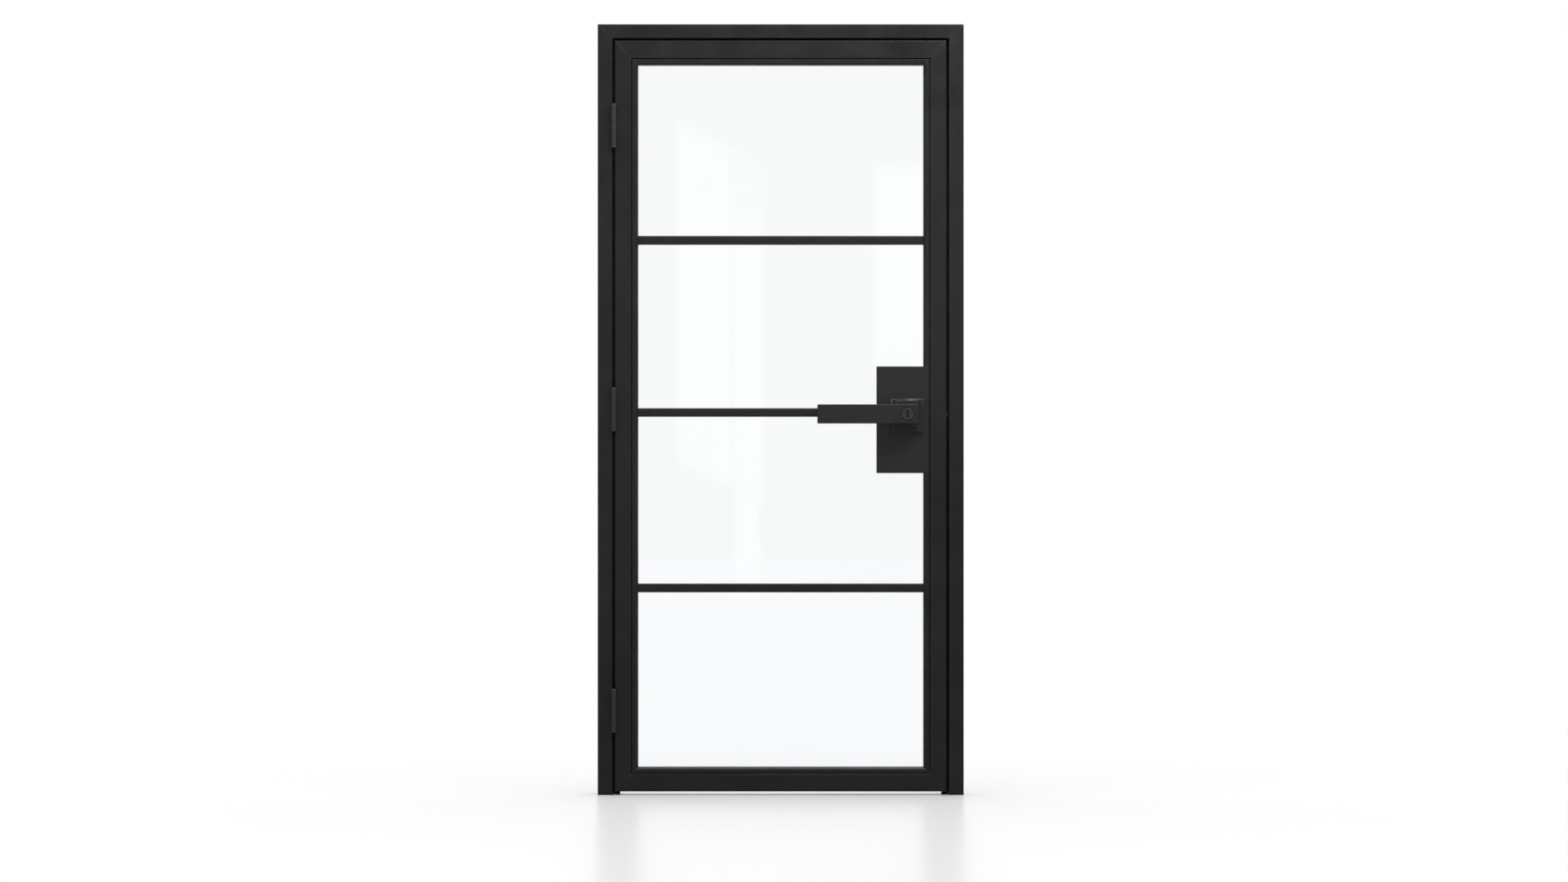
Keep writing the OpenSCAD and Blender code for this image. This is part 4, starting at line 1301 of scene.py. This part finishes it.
@dataclass
class Latch:
    """The latch in the stile: its housing, face plate, spring and bolt."""

    edge: float = 0.3 * MM
    bolt_edge: float = 0.4 * MM
    plate_least: float = 2.5 * MM
    bolt_least: float = 2.0 * MM
    screw_length: float = 10.0 * MM
    spring_wire: float = 1.4 * MM
    spring_turns: float = 7.0

    def build_spring(self, bench: Bench) -> None:
        """Winds the spring behind the bolt.

        Args:
            bench: The bench that fits the pieces.
        """
        low, high = islands("latch_spring")[0]
        radius = (high.z - low.z - self.spring_wire) / 2
        coil = Spring(radius, self.spring_wire, high.x - low.x, self.spring_turns)
        spring = coil.make("latch_spring_finished")
        axis = JOINT_AT["lever_turn"]
        spring.data.transform(Matrix.Translation((low.x, 0.0, axis.z)) @ Heading.RIGHT.turn())
        bench.fit(spring, Slot.STEEL, "latch_spring")

    def build(self, bench: Bench) -> None:
        """Makes the latch's pieces.

        Args:
            bench: The bench that fits the pieces.
        """
        bench.soften("latch_housing", Slot.HARDWARE, self.edge)
        bench.soften("latch_faceplate", Slot.HARDWARE, self.edge, self.plate_least)
        bench.soften("latch_bolt", Slot.HARDWARE, self.bolt_edge, self.bolt_least)
        Screw(length=self.screw_length).drive_in(bench, "latch_screws", Heading.RIGHT)
        self.build_spring(bench)


# ---------------------------------------------------------------- studio


@dataclass(frozen=True)
class ReflectionCard:
    """A soft-edged lit card in front of the door, which the camera sees only in the glass."""

    name: str
    centre: Pair
    size: Pair
    strength: float = 1.15
    softness: Pair = (0.035, 0.10)
    slant: float = 0.0


@dataclass(frozen=True)
class Softbox:
    """A soft rectangular light that the camera doesn't see."""

    name: str
    place: Point
    aim: Point
    size: Pair
    power: float


@dataclass
class Studio:
    """The camera, the light, the pale floor and the cards that the glass mirrors."""

    distance: float = 15.0
    eye: Pair = (0.009, 0.967)
    view_width: float = 4.29
    sensor_width: float = 36.0
    farthest: float = 200.0
    front_level: float = 0.05
    top_level: float = 1.2
    fill_level: float = 0.36
    behind_band: Pair = (-0.25, 0.35)
    above_band: Pair = (-0.05, 0.8)
    floor_size: float = 60.0
    floor_drop: float = 0.5 * MM
    floor_pale: Colour = (0.93, 0.93, 0.935)
    floor_dim: Colour = (0.22, 0.22, 0.225)
    floor_shine: Colour = (0.97, 0.97, 0.98)
    floor_roughness: float = 0.24
    floor_gloss: float = 0.25
    floor_light: float = 0.31
    floor_light_angle: float = 140.0
    softboxes: list[Softbox] = field(default_factory=lambda: [
        Softbox("key_softbox", (1.1, -1.3, 3.4), (0.2, 0.0, 1.7), (1.2, 0.8), 70.0),
        Softbox("fill_softbox", (-1.8, -1.6, 3.2), (-0.3, 0.0, 1.6), (1.0, 1.0), 18.0),
    ])
    card_y: float = -3.0
    cards: list[ReflectionCard] = field(default_factory=lambda: [
        ReflectionCard("card_left", (-0.20, 1.39), (0.33, 1.24), slant=0.48),
        ReflectionCard("card_middle", (-0.108, 1.10), (0.13, 1.62), softness=(0.035, 0.35)),
        ReflectionCard("card_right", (0.47, 1.53), (0.38, 0.82)),
    ])

    def place_camera(self) -> None:
        """Puts the camera straight in front of the door with a long lens."""
        data = bpy.data.cameras.new("front_camera")
        data.sensor_width = self.sensor_width
        data.lens = self.sensor_width * self.distance / self.view_width
        data.clip_end = self.farthest
        camera = bpy.data.objects.new("front_camera", data)
        camera.location = (self.eye[0], -self.distance, self.eye[1])
        camera.rotation_euler = (math.pi / 2, 0.0, 0.0)
        bpy.context.scene.collection.objects.link(camera)
        bpy.context.scene.camera = camera

    def light_world(self) -> None:
        """A white room, dimmer in front of the door, so that the glass and the black coat have depth."""
        world = bpy.data.worlds.new("studio")
        bpy.context.scene.world = world
        world.use_nodes = True
        tree = NodeTree(world.node_tree)
        ray = tree.add("TexCoord").outputs["Generated"]
        parts = tree.add("SeparateXYZ", Vector=ray)
        behind = tree.remap(parts.outputs["Y"], *self.behind_band, 0.0, 1.0, smooth=True)
        above = tree.remap(parts.outputs["Z"], *self.above_band, self.front_level, self.top_level,
                           smooth=True)
        front = tree.math("MULTIPLY", tree.math("SUBTRACT", 1.0, behind), above)
        mirrored = tree.math("ADD", front, behind)
        path = tree.add("LightPath")
        seen = tree.math("MAXIMUM", path.outputs["Is Camera Ray"], path.outputs["Is Transmission Ray"])
        spread = tree.math("MULTIPLY", path.outputs["Is Diffuse Ray"], self.fill_level)
        level = tree.math("MAXIMUM", mirrored, tree.math("MAXIMUM", seen, spread))
        shade = tree.add("Background", Color=(1.0, 1.0, 1.0, 1.0), Strength=level)
        tree.output = tree.add("OutputWorld")
        tree.show(shade.outputs[0])

    def add_softbox(self, box: Softbox) -> bpy.types.Object:
        """Hangs a softbox and aims it.

        Args:
            box: The softbox's place, aim, size and power.

        Returns:
            The lamp.
        """
        data = bpy.data.lights.new(box.name, "AREA")
        data.shape = "RECTANGLE"
        data.size, data.size_y = box.size
        data.energy = box.power
        lamp = bpy.data.objects.new(box.name, data)
        lamp.location = box.place
        lamp.rotation_euler = (Vector(box.aim) - Vector(box.place)).to_track_quat("-Z", "Y").to_euler()
        lamp.visible_camera = False
        bpy.context.scene.collection.objects.link(lamp)
        return lamp

    def add_floor_light(self) -> bpy.types.Object:
        """Adds the very wide overhead light that keeps the floor white and softens the shadows on it.

        Returns:
            The lamp.
        """
        data = bpy.data.lights.new("floor_light", "SUN")
        data.energy = self.floor_light
        data.angle = math.radians(self.floor_light_angle)
        lamp = bpy.data.objects.new("floor_light", data)
        lamp.visible_glossy = False
        bpy.context.scene.collection.objects.link(lamp)
        return lamp

    def share_out(self, floor: bpy.types.Object, lamps: list[bpy.types.Object]) -> None:
        """Keeps the softboxes' light off the floor, and the floor's own light off the door.

        Args:
            floor: The floor.
            lamps: The softboxes' lamps.
        """
        for name, state, members in (("softboxes_spare", "EXCLUDE", lamps),
                                     ("floor_light_reaches", "INCLUDE", [self.add_floor_light()])):
            reach = bpy.data.collections.new(name)
            reach.objects.link(floor)
            reach.collection_objects[0].light_linking.link_state = state
            for lamp in members:
                lamp.light_linking.receiver_collection = reach

    def lay_floor(self) -> bpy.types.Object:
        """Lays the pale floor, which mirrors the feet of the frame softly and throws little light back up.

        Returns:
            The floor.
        """
        deselect_all()
        level = CAD_BOX[0].z - self.floor_drop
        bpy.ops.mesh.primitive_plane_add(size=self.floor_size, location=(0.0, 0.0, level))
        floor = bpy.context.object
        floor.name = "studio_floor"
        settle(floor)
        tree, material = new_material(floor.name)
        path = tree.add("LightPath")
        seen = tree.math("MAXIMUM", path.outputs["Is Camera Ray"], path.outputs["Is Transmission Ray"])
        matt = tree.add("BsdfDiffuse", Color=tree.blend(seen, self.floor_dim, self.floor_pale))
        gloss = tree.add("BsdfGlossy", Color=(*self.floor_shine, 1.0), Roughness=self.floor_roughness)
        tree.show(tree.mix(self.floor_gloss, matt, gloss))
        floor.data.materials.append(material)
        return floor

    def hang_card(self, card: ReflectionCard) -> None:
        """Hangs one reflection card, lit in its middle and fading to its edges.

        Args:
            card: The card's place, size, strength and shape.
        """
        deselect_all()
        x, z = card.centre
        bpy.ops.mesh.primitive_plane_add(size=1.0, location=(x, self.card_y, z),
                                         rotation=(-math.pi / 2, 0.0, 0.0))
        sheet = bpy.context.object
        sheet.name = card.name
        spare = 2 * card.size[0] * card.slant
        sheet.scale = (card.size[0], card.size[1] + spare, 1.0)
        bpy.context.view_layer.update()
        settle(sheet)
        for ray in ("camera", "shadow", "diffuse", "transmission"):
            setattr(sheet, f"visible_{ray}", False)
        tree, material = new_material(card.name)
        place = tree.add("SeparateXYZ", Vector=tree.add("TexCoord").outputs["Object"])
        aside = tree.math("SUBTRACT", place.outputs["X"], x)
        raised = tree.math("SUBTRACT", place.outputs["Z"], z)
        sheared = tree.math("ADD", raised, tree.math("MULTIPLY", aside, card.slant))
        fades = []
        for off, width, soft in zip((aside, sheared), card.size, card.softness):
            reach = tree.math("ABSOLUTE", off)
            fades.append(tree.remap(reach, width / 2, width / 2 - soft, 0.0, 1.0, smooth=True))
        glow = tree.math("MULTIPLY", fades[0], fades[1])
        light = tree.add("Emission", Strength=tree.math("MULTIPLY", glow, card.strength))
        clear = tree.add("BsdfTransparent")
        tree.show(tree.mix(glow, clear, light))
        sheet.data.materials.append(material)

    def build(self) -> None:
        """Lights and furnishes the studio."""
        bpy.context.scene.view_settings.view_transform = "Standard"
        self.light_world()
        lamps = [self.add_softbox(box) for box in self.softboxes]
        self.share_out(self.lay_floor(), lamps)
        for card in self.cards:
            self.hang_card(card)
        log.info("studio ready")


def main() -> None:
    """Builds the door's looks from the outside in."""
    logging.basicConfig(level=logging.INFO, format="%(name)s: %(message)s")
    studio = Studio()
    studio.place_camera()
    bench = Bench(Finishes())
    for part in (DoorFrame(), LeafFrame(), Glazing(), Hinges(), LockCase(), Levers(), KeyCylinder(), Latch()):
        part.build(bench)
    studio.build()
    log.info("%d pieces made", bench.count)


if __name__ == "__main__":
    main()
